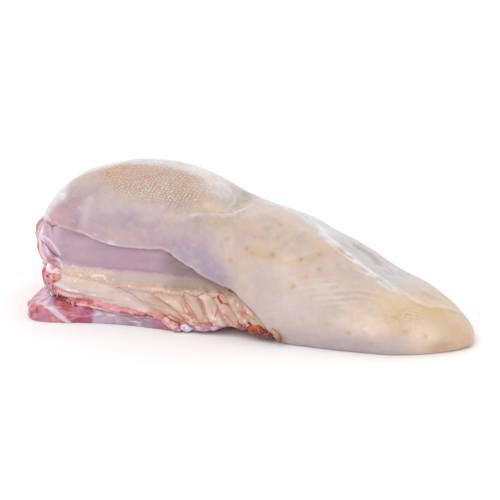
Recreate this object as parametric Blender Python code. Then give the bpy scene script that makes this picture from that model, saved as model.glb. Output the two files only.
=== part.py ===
"""A whole ox tongue, trimmed at the root and laid on its cut base: one faceted solid.

The tongue lies along X with its tip at +X and its back up. The origin is the centre of its footprint.
Profiles are tables of millimetres: the key is the distance along the tongue, the value what it names.
"""

import math

import bmesh
import bpy
import numpy as np

MM = 0.001

# Driving dimensions, in millimetres. A rounding is where an end begins to close and the power of its curve.
ROOT_X = -147.0  # where the mucosa ends at the root
TIP_X = 152.5
BASE_ROOT_X = -152.0
BASE_FRONT_X = -2.5
CORE_ROOT_X = -147.0  # the middle of the cut face
CORE_FRONT_X = 34.5  # where the blade leaves its muscle

# The mucosa-covered body: the four extreme lines of its sections.
LIP_REACH = {-150: -32, -128: -40, -100: -43.5, -54: -46, 60: -46, 100: -43, 120: -38, 152: -27}
LIP_HEIGHT = {
    -150: 64, -122: 63.5, -107: 62, -91: 57, -75: 53.5, -54: 55.5, -39: 52.5, -20: 42.5, -3: 32.5,
    10: 20.5, 24: 11, 60: 12, 152: 8,
}
CREST_SIDE = {-150: 0, -113: 3, -47: 3, 42: -5}
CREST_HEIGHT = {
    -150: 80, -128: 88, -94: 98.5, -61: 101, -33: 96, -20: 90, -8: 83, 42: 66, 76: 48.5, 101: 35.5,
    130: 24.5, 152: 16,
}
FAR_REACH = {-150: 32, -120: 40, -60: 45, 60: 43, 101: 38, 130: 32, 152: 27}
FAR_HEIGHT = {-150: 62, -60: 56, -20: 48, 24: 45, 60: 35, 90: 24, 130: 13, 152: 9}
BELLY_SIDE = {-20: 0, 0: -10, 42: -27, 90: -28, 120: -22, 152: -8}
BELLY_HEIGHT = {-150: 58, -40: 49.5, -20: 40, 0: 27.5, 24: 1, 42: -5, 152: -5}
FAR_ROUNDNESS = {-150: 2.1, -60: 2.1, -10: 1.85, 12: 2.1, 38: 2.7, 54: 2.55, 68: 2.9, 152: 2.5}
NEAR_ROUNDNESS = 2.15
UNDER_ROUNDNESS = (2.0, 2.4)  # far side, near side
ROOT_ROUNDING = (-112.0, 2.0)
TIP_ROUNDING = (103.5, 2.25)
ROOT_AIM = (-2.0, 52.0)  # side and height that the end closes on
TIP_AIM = (-5.0, 5.0)
BODY_ENDS = (-146.8, -60.0, 12.0, 152.3)  # first ring, start of the groove, its end, last ring
BODY_RINGS = (13, 27, 23)  # root, groove, blade
BODY_QUARTERS = (14, 24, 6, 6)  # points in each quarter: far top, near top, near under, far under

# The groove that bounds the thick back part in front and along the near side, with a bank outside it.
GROOVE_CENTRE = (-70.0, 3.0)
GROOVE_RADII = (64.0, 41.0)
GROOVE_SCALE = 50.0  # millimetres for each radius further out
GROOVE_DEPTHS = (4.5, 4.2)  # front, side
GROOVE_WIDTHS = (5.0, 5.5, 4.5)  # inwards, outwards, and what the front adds outwards
GROOVE_FRONT = (-50, -20, 40, 75)  # bearings where the front part comes in and goes out, in degrees
GROOVE_SIDE = (-105, -60)  # bearings where the side part comes in
BANK = (2.2, 9.5, 5.0)  # height, how far out, width

# The bare muscle under the mucosa's edge.
CORE_TOP = {-150: 62, -120: 62, -75: 56, -39: 52, -20: 43, 0: 32, 20: 20, 34: 10}
CORE_REACH = {-150: 37, -136: 40, -120: 43, -60: 42.5, -35: 40, -15: 38.5, 10: 38, 22: 35, 34: 24}
CORE_MIDDLE = {-150: 30, -120: 28, 0: 14, 34: 6}
CORE_UNDER = {-150: -4, -20: -4, 0: 3.5, 34: 3.5}
CORE_AIM = {-150: 34, 34: 6}
CORE_ROUNDNESS = (3.6, 3.6, 4.0, 4.0)
CUT_ROUNDING = (-124.0, 2.1)
CORE_FRONT_ROUNDING = (12.0, 2.0)
CORE_RINGS = 32
CORE_QUARTERS = (5, 5, 4, 4)

# The trimmed layer that the root rests on.
BASE_TOP = {-152: 18, -120: 19, -90: 15, -60: 11, -30: 8, -2: 6}
BASE_NEAR = {-152: 52, -140: 56.5, -122: 56, -90: 47, -60: 44, -36: 44, -19: 39.5, -2: 30}
BASE_FAR = {-152: 51, -140: 55.5, -122: 55, -60: 45, -19: 40, -2: 28}
BASE_WIDEST = 0.4  # share of its height at which the base is widest
BASE_UNDER = -6.0  # below the resting plane, where the cutter flattens it
BASE_AIM = (-4.0, 6.0)
BASE_ROUNDNESS = (2.6, 2.6, 5.0, 5.0)
BASE_ROOT_ROUNDING = (-130.0, 2.9)
BASE_FRONT_ROUNDING = (-18.0, 2.2)
BASE_RINGS = 26
BASE_QUARTERS = (5, 5, 3, 3)

# Folds of flesh: stations (x, side, height, half size across, half size up) on a smooth path.
SIDES = {"near": -1, "far": 1}
BAND = (
    (-127, 37, 33, 6.5, 6.5), (-84, 37.5, 33, 7.6, 7.6), (-56, 37.5, 27, 7.8, 13),
    (-38, 36, 24.5, 7.6, 14.5), (-22, 35.5, 22, 7, 13), (-6, 34, 19, 5, 8),
)
ROLL = (
    (-129, 38, 24.5, 7.5, 8.5), (-95, 38.5, 21, 8, 9.8), (-70, 38, 15.5, 8, 8),
    (-42, 36.5, 10, 8, 5.6), (-20, 35.5, 7.5, 6.5, 4), (2, 33, 5, 4, 2.6),
)
LOBE = ((-141, 26, 4, 9, 10), (-134, 38.5, 6, 10.5, 12), (-120, 43, 4, 10.5, 11))
MEAT = ((-2, 27, 6, 5, 5), (10, 30, 5, 6, 6), (24, 30, 4, 6, 5))
SCRAP = ((16, 35, 10, 3, 2.6), (26, 39.5, 6, 3.2, 2.6), (33, 42, 1, 2.6, 2.2))
PLEATS = 6
PLEAT_START = -37.0
PLEAT_STEP = 9.2
NODULES = ((-127, 38, 33, 5.2), (-129, 38.5, 26, 5.0), (-127, 41, 19, 4.6))  # x, side, height, size
NODULE_LEAN = 2.0  # how much nearer the middle its root end lies
BUNDLE_ROWS = {49: (-20, 0, 20), 33: (-28, -10, 9, 27), 18: (-19, 1, 20)}  # height: sides
BUNDLE_SIZE = (12.0, 10.0)
BUNDLE_DEPTHS = (-0.8, 4.0, 10.0)  # its stations, from the cut face inwards

FLOOR_BLOCK = (420.0, 200.0, 8.0)  # the cutter under the resting plane
SHARP_EDGE = math.radians(40)


def along(profile, x):
    """The profile's value at each x: a monotone cubic through its points."""
    keys = np.array(list(profile), float)
    values = np.array(list(profile.values()), float)
    x = np.clip(x, keys[0], keys[-1])
    step = np.diff(keys)
    rise = np.diff(values) / step
    slope = np.concatenate([rise[:1], np.zeros(len(rise) - 1), rise[-1:]])
    same_way = rise[:-1] * rise[1:] > 0
    before = 2 * step[1:] + step[:-1]
    after = step[1:] + 2 * step[:-1]
    safe = np.where(same_way, 1.0, 0.0)
    first = np.where(same_way, rise[:-1], 1.0)
    second = np.where(same_way, rise[1:], 1.0)
    slope[1:-1] = safe * (before + after) / (before / first + after / second)
    i = np.clip(np.searchsorted(keys, x) - 1, 0, len(step) - 1)
    t = (x - keys[i]) / step[i]
    start = values[i] * (1 + 2 * t) * (1 - t) ** 2 + slope[i] * step[i] * t * (1 - t) ** 2
    end = values[i + 1] * t * t * (3 - 2 * t) + slope[i + 1] * step[i] * t * t * (t - 1)
    return start + end


def ease(low, high, x):
    """0 below low, 1 above high, smooth between."""
    t = np.clip((x - low) / (high - low), 0, 1)
    return t * t * (3 - 2 * t)


def rounded(angle_wave, power):
    """A sine or cosine bent so that the section is a superellipse of that power."""
    return np.sign(angle_wave) * np.abs(angle_wave) ** (2 / power)


def closing(x, root, root_from, root_power, front, front_from, front_power):
    """How full a section is: 1 along the length, falling to 0 at both ends as a superellipse."""
    back = np.clip((root_from - x) / (root_from - root), 0, 1)
    ahead = np.clip((x - front_from) / (front - front_from), 0, 1)
    return (1 - back**root_power) ** (1 / root_power) * (1 - ahead**front_power) ** (1 / front_power)


def crowded_at_ends(start, end, count):
    """Places between two ends, closer together near both, as a form's round ends need."""
    share = (np.arange(count) + 0.5) / count
    return start + (end - start) * (1 - np.cos(share * math.pi)) / 2


def quarter_angles(counts):
    """Angles of a section's points, from the far side over the crest, with that many in each quarter."""
    quarters = [
        (i + np.arange(count) / count) * math.pi / 2
        for i, count in enumerate(counts)
    ]
    return np.concatenate(quarters)


def section_rings(x, near, crest, far, belly, angles, powers, full, aim):
    """Closed sections through four extreme points, each (side, height) for every x.

    powers are the roundness of the quarters: near top, far top, far under, near under. full scales a
    section towards aim.
    """
    wave_y = np.cos(angles)[None]
    wave_z = np.sin(angles)[None]
    rings = np.zeros((len(x), len(angles), 3))
    rings[..., 0] = x[:, None]
    quarters = (
        (wave_y <= 0, wave_z >= 0, near, crest, powers[0]),
        (wave_y > 0, wave_z >= 0, far, crest, powers[1]),
        (wave_y > 0, wave_z < 0, far, belly, powers[2]),
        (wave_y <= 0, wave_z < 0, near, belly, powers[3]),
    )
    for side_test, height_test, side, pole, power in quarters:
        power = np.broadcast_to(power, len(x))[:, None]
        y = pole[0][:, None] + np.abs(side[0] - pole[0])[:, None] * rounded(wave_y, power)
        z = side[1][:, None] + np.abs(pole[1] - side[1])[:, None] * rounded(wave_z, power)
        here = side_test & height_test
        rings[..., 1] = np.where(here, y, rings[..., 1])
        rings[..., 2] = np.where(here, z, rings[..., 2])
    centre = np.stack(np.broadcast_arrays(aim[0], aim[1], x), -1)[:, None, :2]
    rings[..., 1:] = centre + (rings[..., 1:] - centre) * full[:, None, None]
    return rings


def outward(rings):
    """Unit normals of a lofted grid, from its neighbours' differences."""
    run = np.gradient(rings, axis=0)
    round_it = np.roll(rings, -1, axis=1) - np.roll(rings, 1, axis=1)
    normal = np.cross(run, round_it)
    return normal / (np.linalg.norm(normal, axis=-1, keepdims=True) + 1e-9)


def add_form(name, rings, forms):
    """Makes the closed shell over the rings, with flat ends, as an object of the collection."""
    shell = bmesh.new()
    loops = [[shell.verts.new(point) for point in ring] for ring in rings * MM]
    for loop, following in zip(loops, loops[1:]):
        for i in range(len(loop)):
            j = (i + 1) % len(loop)
            shell.faces.new((loop[i], loop[j], following[j], following[i]))
    shell.faces.new(reversed(loops[0]))
    shell.faces.new(loops[-1])
    bmesh.ops.recalc_face_normals(shell, faces=shell.faces)
    mesh = bpy.data.meshes.new(name)
    shell.to_mesh(mesh)
    shell.free()
    form = bpy.data.objects.new(name, mesh)
    forms.objects.link(form)
    return form


def groove_relief(rings, angles):
    """How far each point moves along its normal: a groove round the thick back, with a bank beside it."""
    from_x = (rings[..., 0] - GROOVE_CENTRE[0]) / GROOVE_RADII[0]
    from_y = (rings[..., 1] - GROOVE_CENTRE[1]) / GROOVE_RADII[1]
    outside = (np.hypot(from_x, from_y) - 1) * GROOVE_SCALE
    bearing = np.degrees(np.arctan2(from_y, from_x))
    to_front = ease(*GROOVE_FRONT[:2], bearing)
    front = to_front * (1 - ease(*GROOVE_FRONT[2:], bearing))
    side = ease(*GROOVE_SIDE, bearing) * (1 - to_front)
    inwards, outwards, at_front = GROOVE_WIDTHS
    width = np.where(outside < 0, inwards, outwards + at_front * front)
    groove = np.exp(-((outside / width) ** 2)) * (GROOVE_DEPTHS[0] * front + GROOVE_DEPTHS[1] * side)
    height, how_far, bank_width = BANK
    bank = height * np.exp(-(((outside - how_far) / bank_width) ** 2)) * side
    on_top = ease(-0.1, 0.35, np.sin(angles))[None]
    return (bank - groove) * on_top


def body(forms):
    """The mucosa-covered body: thick back, groove, blade and tip."""
    root_end, groove_start, groove_end, tip_end = BODY_ENDS
    turn = np.linspace(0, math.pi / 2, BODY_RINGS[0], endpoint=False)
    root = root_end + (groove_start - root_end) * (1 - np.cos(turn))
    groove = np.linspace(groove_start, groove_end, BODY_RINGS[1], endpoint=False)
    turn = np.linspace(0, math.pi / 2, BODY_RINGS[2])
    blade = groove_end + (tip_end - groove_end) * np.sin(turn) ** 1.15
    x = np.concatenate([root, groove, blade])
    full = closing(x, ROOT_X, *ROOT_ROUNDING, TIP_X, *TIP_ROUNDING)
    aim = [np.where(x > 0, tip, root) for root, tip in zip(ROOT_AIM, TIP_AIM)]
    angles = quarter_angles(BODY_QUARTERS)
    rings = section_rings(
        x,
        near=(along(LIP_REACH, x), along(LIP_HEIGHT, x)),
        crest=(along(CREST_SIDE, x), along(CREST_HEIGHT, x)),
        far=(along(FAR_REACH, x), along(FAR_HEIGHT, x)),
        belly=(along(BELLY_SIDE, x), along(BELLY_HEIGHT, x)),
        angles=angles,
        powers=(NEAR_ROUNDNESS, along(FAR_ROUNDNESS, x), *UNDER_ROUNDNESS),
        full=full,
        aim=aim,
    )
    rings += outward(rings) * groove_relief(rings, angles)[..., None]
    return add_form("body", rings, forms)


def core(forms):
    """The muscle between the body and the base, which shows below the mucosa's edge."""
    x = crowded_at_ends(CORE_ROOT_X, CORE_FRONT_X, CORE_RINGS)
    reach = along(CORE_REACH, x)
    middle = along(CORE_MIDDLE, x)
    on_axis = np.zeros_like(x)
    rings = section_rings(
        x,
        near=(-reach, middle),
        crest=(on_axis, along(CORE_TOP, x)),
        far=(reach, middle),
        belly=(on_axis, along(CORE_UNDER, x)),
        angles=quarter_angles(CORE_QUARTERS),
        powers=CORE_ROUNDNESS,
        full=closing(x, CORE_ROOT_X, *CUT_ROUNDING, CORE_FRONT_X, *CORE_FRONT_ROUNDING),
        aim=(on_axis, along(CORE_AIM, x)),
    )
    return add_form("core", rings, forms)


def base(forms):
    """The trimmed layer of flesh and fascia that the root rests on."""
    x = crowded_at_ends(BASE_ROOT_X, BASE_FRONT_X, BASE_RINGS)
    top = along(BASE_TOP, x)
    on_axis = np.zeros_like(x)
    rings = section_rings(
        x,
        near=(-along(BASE_NEAR, x), top * BASE_WIDEST),
        crest=(on_axis, top),
        far=(along(BASE_FAR, x), top * BASE_WIDEST),
        belly=(on_axis, on_axis + BASE_UNDER),
        angles=quarter_angles(BASE_QUARTERS),
        powers=BASE_ROUNDNESS,
        full=closing(x, BASE_ROOT_X, *BASE_ROOT_ROUNDING, BASE_FRONT_X, *BASE_FRONT_ROUNDING),
        aim=[on_axis + part for part in BASE_AIM],
    )
    return add_form("base", rings, forms)


def fold(name, stations, forms, rings=16, sides=8):
    """A rounded roll of flesh: an elliptical section carried along a smooth path through the stations.

    Each station is (x, y, z, half size across, half size up). Both ends close round.
    """
    stations = np.array(stations, float)
    gaps = np.sqrt(np.linalg.norm(np.diff(stations[:, :3], axis=0), axis=1))
    knots = np.concatenate([[0], np.cumsum(gaps)])
    share = np.linspace(-1, 1, rings)
    place = knots[-1] * (1 + np.sin(share * math.pi / 2)) / 2
    path = np.stack([along(dict(zip(knots, column)), place) for column in stations.T], axis=-1)
    full = np.maximum(1 - np.abs(np.sin(share * math.pi / 2)) ** 5, 0.02) ** 0.5
    ahead = np.gradient(path[:, :3], axis=0)
    ahead /= np.linalg.norm(ahead, axis=1, keepdims=True)
    across = np.cross(ahead, (0, 0, 1))
    across /= np.linalg.norm(across, axis=1, keepdims=True)
    upward = np.cross(across, ahead)
    angles = np.linspace(0, 2 * math.pi, sides, endpoint=False)
    wide = (path[:, 3] * full)[:, None] * np.cos(angles)[None]
    high = (path[:, 4] * full)[:, None] * np.sin(angles)[None]
    section = wide[..., None] * across[:, None] + high[..., None] * upward[:, None]
    return add_form(name, path[:, None, :3] + section, forms)


def mirrored(stations, sign):
    """The stations of a fold on the near side (sign -1) or the far side (sign 1)."""
    return [(x, sign * y, z, across, up) for x, y, z, across, up in stations]


def side_folds(forms):
    """On each side, the fat band, the smooth roll under it, and the pleats where both run out."""
    for side, sign in SIDES.items():
        fold(f"band_{side}", mirrored(BAND, sign), forms, 20)
        fold(f"roll_{side}", mirrored(ROLL, sign), forms, 20)
        for i in range(PLEATS):
            top = PLEAT_START + PLEAT_STEP * i
            pleat = (
                (top, 36.0, 29 - 0.9 * i, 3.6, 3.8),
                (top + 5.0, 37.2 - 0.25 * i, 18 - 0.6 * i, 4.6, 5.0),
                (top + 12.5, 36.0 - 0.4 * i, 5.0, 4.2, 3.8),
            )
            fold(f"pleat_{side}_{i}", mirrored(pleat, sign), forms, 8, 6)


def root_flesh(forms):
    """What shows at the cut end: the lobes of the base, the nodules beside them and the muscle bundles."""
    for side, sign in SIDES.items():
        fold(f"lobe_{side}", mirrored(LOBE, sign), forms, 12, 10)
        for i, (x, y, z, size) in enumerate(NODULES):
            sides = (y - NODULE_LEAN, y, y)
            nodule = [(x + k * size, sides[k + 1], z, size, size) for k in (-1, 0, 1)]
            fold(f"nodule_{side}_{i}", mirrored(nodule, sign), forms, 7, 8)
    start, power = CUT_ROUNDING
    for row, (height, sides) in enumerate(BUNDLE_ROWS.items()):
        for i, side in enumerate(sides):
            inset = (abs(side) / max(CORE_REACH.values())) ** power
            face = start + (CORE_ROOT_X - start) * (1 - inset) ** (1 / power)
            bundle = [(face + depth, side, height, *BUNDLE_SIZE) for depth in BUNDLE_DEPTHS]
            fold(f"bundle_{row}_{i}", bundle, forms, 6, 8)


def front_flesh(forms):
    """Under the blade: on each side a lump of meat at the front of the base, and a scrap of it that hangs."""
    for side, sign in SIDES.items():
        fold(f"meat_{side}", mirrored(MEAT, sign), forms, 10, 8)
    fold("scrap", mirrored(SCRAP, SIDES["near"]), forms, 9, 6)


def floor_block():
    """The cutter under the resting plane, which leaves the soft flesh flat where it rests."""
    block = bmesh.new()
    bmesh.ops.create_cube(block, size=1.0)
    size = [side * MM for side in FLOOR_BLOCK]
    bmesh.ops.scale(block, vec=size, verts=block.verts)
    bmesh.ops.translate(block, vec=(0, 0, -size[2] / 2), verts=block.verts)
    mesh = bpy.data.meshes.new("floor_block")
    block.to_mesh(mesh)
    block.free()
    cutter = bpy.data.objects.new("floor_block", mesh)
    cutter.hide_render = True
    cutter.display_type = "WIRE"
    bpy.context.scene.collection.objects.link(cutter)
    return cutter


def apply_booleans(tongue):
    """Replaces the object's mesh by the mesh its modifiers give."""
    graph = bpy.context.evaluated_depsgraph_get()
    joined = bpy.data.meshes.new_from_object(tongue.evaluated_get(graph))
    tongue.modifiers.clear()
    tongue.data = joined


def keep_outer_shell(tongue):
    """Deletes every shell but the largest, so that a pocket that the joined forms seal is filled."""
    whole = bmesh.new()
    whole.from_mesh(tongue.data)
    unseen = set(whole.verts)
    shells = []
    while unseen:
        shell = {unseen.pop()}
        border = list(shell)
        while border:
            vert = border.pop()
            for edge in vert.link_edges:
                other = edge.other_vert(vert)
                if other in unseen:
                    unseen.remove(other)
                    shell.add(other)
                    border.append(other)
        shells.append(shell)
    shells.sort(key=len)
    inner = [vert for shell in shells[:-1] for vert in shell]
    bmesh.ops.delete(whole, geom=inner, context="VERTS")
    whole.to_mesh(tongue.data)
    whole.free()


def flesh_material():
    """Pale wet mucosa."""
    material = bpy.data.materials.new("tongue_mucosa")
    material.use_nodes = True
    shader = material.node_tree.nodes["Principled BSDF"]
    shader.inputs["Base Color"].default_value = (0.72, 0.58, 0.52, 1.0)
    shader.inputs["Roughness"].default_value = 0.38
    shader.inputs["Metallic"].default_value = 0.0
    return material


def main():
    """Models the forms, joins them into one solid and cuts it flat where it rests."""
    for old in list(bpy.data.objects):
        bpy.data.objects.remove(old)
    forms = bpy.data.collections.new("forms")
    bpy.context.scene.collection.children.link(forms)
    tongue = body(forms)
    forms.objects.unlink(tongue)
    bpy.context.scene.collection.objects.link(tongue)
    tongue.name = "tongue"
    core(forms)
    base(forms)
    side_folds(forms)
    root_flesh(forms)
    front_flesh(forms)
    union = tongue.modifiers.new("join the forms", "BOOLEAN")
    union.operation = "UNION"
    union.operand_type = "COLLECTION"
    union.collection = forms
    union.solver = "EXACT"
    apply_booleans(tongue)
    for form in list(forms.objects):
        bpy.data.objects.remove(form)
    bpy.data.collections.remove(forms)
    cutter = floor_block()
    cut = tongue.modifiers.new("flatten where it rests", "BOOLEAN")
    cut.operation = "DIFFERENCE"
    cut.object = cutter
    cut.solver = "EXACT"
    apply_booleans(tongue)
    bpy.data.objects.remove(cutter)
    keep_outer_shell(tongue)
    tongue.data.name = "tongue"
    tongue.data.materials.clear()
    tongue.data.materials.append(flesh_material())
    tongue.data.shade_smooth()
    tongue.data.set_sharp_from_angle(angle=SHARP_EDGE)


main()
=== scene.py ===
"""A whole cured ox tongue lying on its cut root: mucosa, papillae, and the flesh trimmed below its edge."""

import logging
import math
from dataclasses import dataclass, field
from enum import Enum
from itertools import product

import bpy
import numpy as np
from mathutils import Euler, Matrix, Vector


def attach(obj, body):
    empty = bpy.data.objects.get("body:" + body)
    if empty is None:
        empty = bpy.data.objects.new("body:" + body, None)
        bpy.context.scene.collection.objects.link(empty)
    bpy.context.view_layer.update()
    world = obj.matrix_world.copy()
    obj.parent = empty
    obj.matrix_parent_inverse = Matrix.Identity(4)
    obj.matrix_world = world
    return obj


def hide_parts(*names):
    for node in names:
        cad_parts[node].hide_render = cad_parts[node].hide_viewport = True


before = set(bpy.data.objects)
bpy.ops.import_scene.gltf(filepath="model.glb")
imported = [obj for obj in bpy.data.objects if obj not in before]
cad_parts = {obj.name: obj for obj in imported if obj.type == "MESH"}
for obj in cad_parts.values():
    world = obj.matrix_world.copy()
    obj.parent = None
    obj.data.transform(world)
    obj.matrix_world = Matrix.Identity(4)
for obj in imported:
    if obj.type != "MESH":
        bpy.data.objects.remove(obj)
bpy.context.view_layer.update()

LOG = logging.getLogger("tongue")
MM = 0.001
BODY = "root"
DEPTH = 0.85  # the studio is bright, so surfaces are this much darker than they look
TURN = np.array(Euler((0.6, 0.9, 0.4)).to_matrix())  # no noise cell lines up with the tongue
Array = np.ndarray
Rgb = tuple[float, float, float]
Table = dict[float, float]


def table(values: Table) -> Table:
    """A dataclass field whose default is this table."""
    return field(default_factory=lambda: values)


class Slot(Enum):
    """The record's material slots."""

    MUCOSA = "mucosa"
    FAT = "fat"
    LEAN = "lean_meat"
    FASCIA = "fascia"


# ---------------------------------------------------------------- curves, masks and noise


def along(profile: Table, x: Array) -> Array:
    """The profile's value at each x: a monotone cubic through its points, held flat beyond its ends.

    Args:
        profile: distance along the tongue to value, both in millimetres.
        x: places to read it at.

    Returns:
        The values, shaped like x.
    """
    keys = np.array(list(profile), float)
    values = np.array(list(profile.values()), float)
    x = np.clip(x, keys[0], keys[-1])
    step = np.diff(keys)
    rise = np.diff(values) / step
    slope = np.concatenate([rise[:1], np.zeros(len(rise) - 1), rise[-1:]])
    same_way = rise[:-1] * rise[1:] > 0
    before = 2 * step[1:] + step[:-1]
    after = step[1:] + 2 * step[:-1]
    first = np.where(same_way, rise[:-1], 1.0)
    second = np.where(same_way, rise[1:], 1.0)
    slope[1:-1] = same_way * (before + after) / (before / first + after / second)
    i = np.clip(np.searchsorted(keys, x) - 1, 0, len(step) - 1)
    t = (x - keys[i]) / step[i]
    start = values[i] * (1 + 2 * t) * (1 - t) ** 2 + slope[i] * step[i] * t * (1 - t) ** 2
    end = values[i + 1] * t * t * (3 - 2 * t) + slope[i + 1] * step[i] * t * t * (t - 1)
    return start + end


def ease(low: float | Array, high: float | Array, x: Array) -> Array:
    """0 at low, 1 at high, smooth between; low may be the larger of the two."""
    t = np.clip((x - low) / (high - low), 0, 1)
    return t * t * (3 - 2 * t)


def hump(x: Array, centre: float, half: float) -> Array:
    """A bell of height 1 at centre that falls to 0.37 at half."""
    return np.exp(-(((x - centre) / half) ** 2))


def within(x: Array, low: float, high: float, soft: float) -> Array:
    """1 between low and high, with edges that are soft wide."""
    return ease(low - soft, low + soft, x) * ease(high + soft, high - soft, x)


def smooth_max(first: Array, second: Array, blend: float) -> Array:
    """The larger of two heights, rounded where they cross: a parabola of width blend bridges them."""
    share = np.clip(0.5 + 0.5 * (first - second) / blend, 0, 1)
    return second + (first - second) * share + blend * share * (1 - share)


def rounded(wave: Array, power: float | Array) -> Array:
    """A sine or cosine bent so that the section is a superellipse of that power."""
    return np.sign(wave) * np.abs(wave) ** (2 / power)


def lattice(x: Array, y: Array, z: Array, seed: int) -> Array:
    """A fixed number from 0 to 1 for each whole-numbered corner, mixed from its coordinates and the seed."""
    mixed = (x * 374761393 + y * 668265263 + z * 2147483629 + seed * 1274126177) & 0xFFFFFFFF
    mixed = ((mixed ^ (mixed >> 13)) * 1274126177) & 0xFFFFFFFF
    return ((mixed ^ (mixed >> 16)) & 0xFFFF) / 0xFFFF


def noise(points: Array, size: float | Rgb, seed: int) -> Array:
    """Smooth value noise: random corner values of a lattice of that size, eased between.

    Args:
        points: places, in millimetres, with three coordinates last.
        size: the lattice's cell, in millimetres, one number or one for each axis.
        seed: which noise.

    Returns:
        Values from -1 to 1.
    """
    place = (points / np.array(size)) @ TURN
    corner = np.floor(place).astype(np.int64)
    t = place - corner
    t = t * t * t * (t * (t * 6 - 15) + 10)
    shares = (1 - t, t)
    total = np.zeros(points.shape[:-1])
    for i, j, k in product((0, 1), repeat=3):
        weight = shares[i][..., 0] * shares[j][..., 1] * shares[k][..., 2]
        total += weight * lattice(corner[..., 0] + i, corner[..., 1] + j, corner[..., 2] + k, seed)
    return total * 2 - 1


def fractal(points: Array, size: float | Rgb, seed: int, octaves: int = 3) -> Array:
    """Noise with finer noise of half the size and height added, octaves times.

    Args:
        points: places, in millimetres.
        size: the cell of the coarsest noise.
        seed: which noise.
        octaves: how many noises are added.

    Returns:
        Values from about -1 to 1.
    """
    size = np.array(size, float) * np.ones(3)
    total = np.zeros(points.shape[:-1])
    for i in range(octaves):
        total += noise(points, tuple(size / 2**i), seed + i) / 2**i
    return total / 1.5


def grains(points: Array, size: float, seed: int) -> tuple[Array, Array]:
    """Packed rounded grains: distance to the nearest of scattered centres, one in each lattice cell.

    Args:
        points: places in millimetres.
        size: the lattice's cell in millimetres.
        seed: which scatter.

    Returns:
        The distance to the nearest centre, and how much further the second is, both in cells.
    """
    place = points / size
    home = np.floor(place).astype(np.int64)
    first = np.full(points.shape[:-1], 9.0)
    second = first.copy()
    for step in product((-1, 0, 1), repeat=3):
        cell = home + np.array(step)
        places = [cell[..., a] + lattice(*np.moveaxis(cell, -1, 0), seed + a) for a in range(3)]
        away = np.linalg.norm(np.stack(places, axis=-1) - place, axis=-1)
        second = np.minimum(second, np.maximum(first, away))
        first = np.minimum(first, away)
    return first, second - first


def smooth_line(corners: tuple, steps: int = 12) -> Array:
    """A smooth line through a few corners, as evenly numbered points.

    Args:
        corners: the points it runs through, in any number of dimensions.
        steps: number of straight runs that stand for it.

    Returns:
        The points of the line.
    """
    corners = np.array(corners, float)
    knots = np.arange(len(corners), dtype=float)
    place = np.linspace(0, knots[-1], steps + 1)
    return np.stack([along(dict(zip(knots, column)), place) for column in corners.T], axis=-1)


def gap(points: Array, line: tuple) -> Array:
    """How far each point is from the smooth line through a few corners.

    Args:
        points: places.
        line: the corners, with as many coordinates.

    Returns:
        The distances.
    """
    corners = smooth_line(line)
    best = np.full(points.shape[:-1], 1e9)
    for start, end in zip(corners, corners[1:]):
        run = end - start
        share = np.clip(((points - start) @ run) / (run @ run), 0, 1)
        best = np.minimum(best, np.linalg.norm(points - start - share[..., None] * run, axis=-1))
    return best


def ridge(points: Array, line: tuple, half: float) -> Array:
    """A rounded ridge of height 1 along a smooth line, half an ellipse across, 0 beyond half."""
    return np.sqrt(np.clip(1 - (gap(points, line) / half) ** 2, 0, 1))


def trace(points: Array, line: tuple, half: float) -> Array:
    """A bell across a smooth line: 1 on it, 0.37 at half."""
    return np.exp(-((gap(points, line) / half) ** 2))


def stroke(points: Array, line: tuple, half: float, soft: float) -> Array:
    """1 on a line's stroke of that half width, falling to 0 over soft."""
    return ease(half + soft, half, gap(points, line))


def bell(points: Array, centre: Rgb, radii: Rgb, power: float = 2) -> Array:
    """A soft ellipsoid: 1 at its centre, 0.37 at its radii, flatter within for a higher power."""
    return np.exp(-(np.linalg.norm((points - np.array(centre)) / np.array(radii), axis=-1) ** power))


def normals_of(grid: Array) -> Array:
    """Unit normals of a grid that wraps along its second axis, from its neighbours' differences."""
    run = np.gradient(grid, axis=0)
    around = np.roll(grid, -1, axis=1) - np.roll(grid, 1, axis=1)
    normal = np.cross(around, run)
    return normal / (np.linalg.norm(normal, axis=-1, keepdims=True) + 1e-9)


# ---------------------------------------------------------------- colour and mesh


def linear(colour: Rgb) -> Array:
    """Scene-linear colour of a screen colour given from 0 to 255."""
    share = np.array(colour, float) / 255
    return np.where(share <= 0.04045, share / 12.92, ((share + 0.055) / 1.055) ** 2.4)


class Paint:
    """The colour and wetness of each vertex, laid on coat by coat."""

    def __init__(self, shape: tuple[int, ...], ground: Rgb, wet: float = 0.5) -> None:
        """Starts with one colour everywhere."""
        self.colour = np.ones((*shape, 3)) * linear(ground)
        self.wet = np.full(shape, wet)

    def lay(self, colour: Rgb, mask: Array | float, wet: float | None = None) -> None:
        """Covers by the mask, from 0 to 1.

        Args:
            colour: screen colour, 0 to 255.
            mask: how much of it covers each vertex.
            wet: wetness of this coat, or None to leave it.
        """
        mask = np.clip(mask, 0, 1) * np.ones(self.wet.shape)
        self.colour += (linear(colour) - self.colour) * mask[..., None]
        if wet is not None:
            self.wet += (wet - self.wet) * mask

    def shade(self, factor: Array) -> None:
        """Makes the colour lighter or darker by a factor."""
        self.colour = np.clip(self.colour * factor[..., None], 0, 1)


def grid_faces(rows: int, columns: int) -> Array:
    """Quads of a grid that wraps round its columns, one row of four vertex numbers for each.

    Args:
        rows: number of rings.
        columns: points in each ring.

    Returns:
        The quads, ring by ring.
    """
    i = np.arange(rows - 1)[:, None] * columns
    j = np.arange(columns)[None]
    following = (j + 1) % columns
    quads = np.stack([i + j, i + following, i + columns + following, i + columns + j], axis=-1)
    return quads.reshape(-1, 4)


def fan_faces(ring: Array, pole: int) -> Array:
    """Triangles from a closed ring of vertex numbers to its pole."""
    return np.stack([ring, np.roll(ring, -1), np.full(len(ring), pole)], axis=-1)


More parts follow.
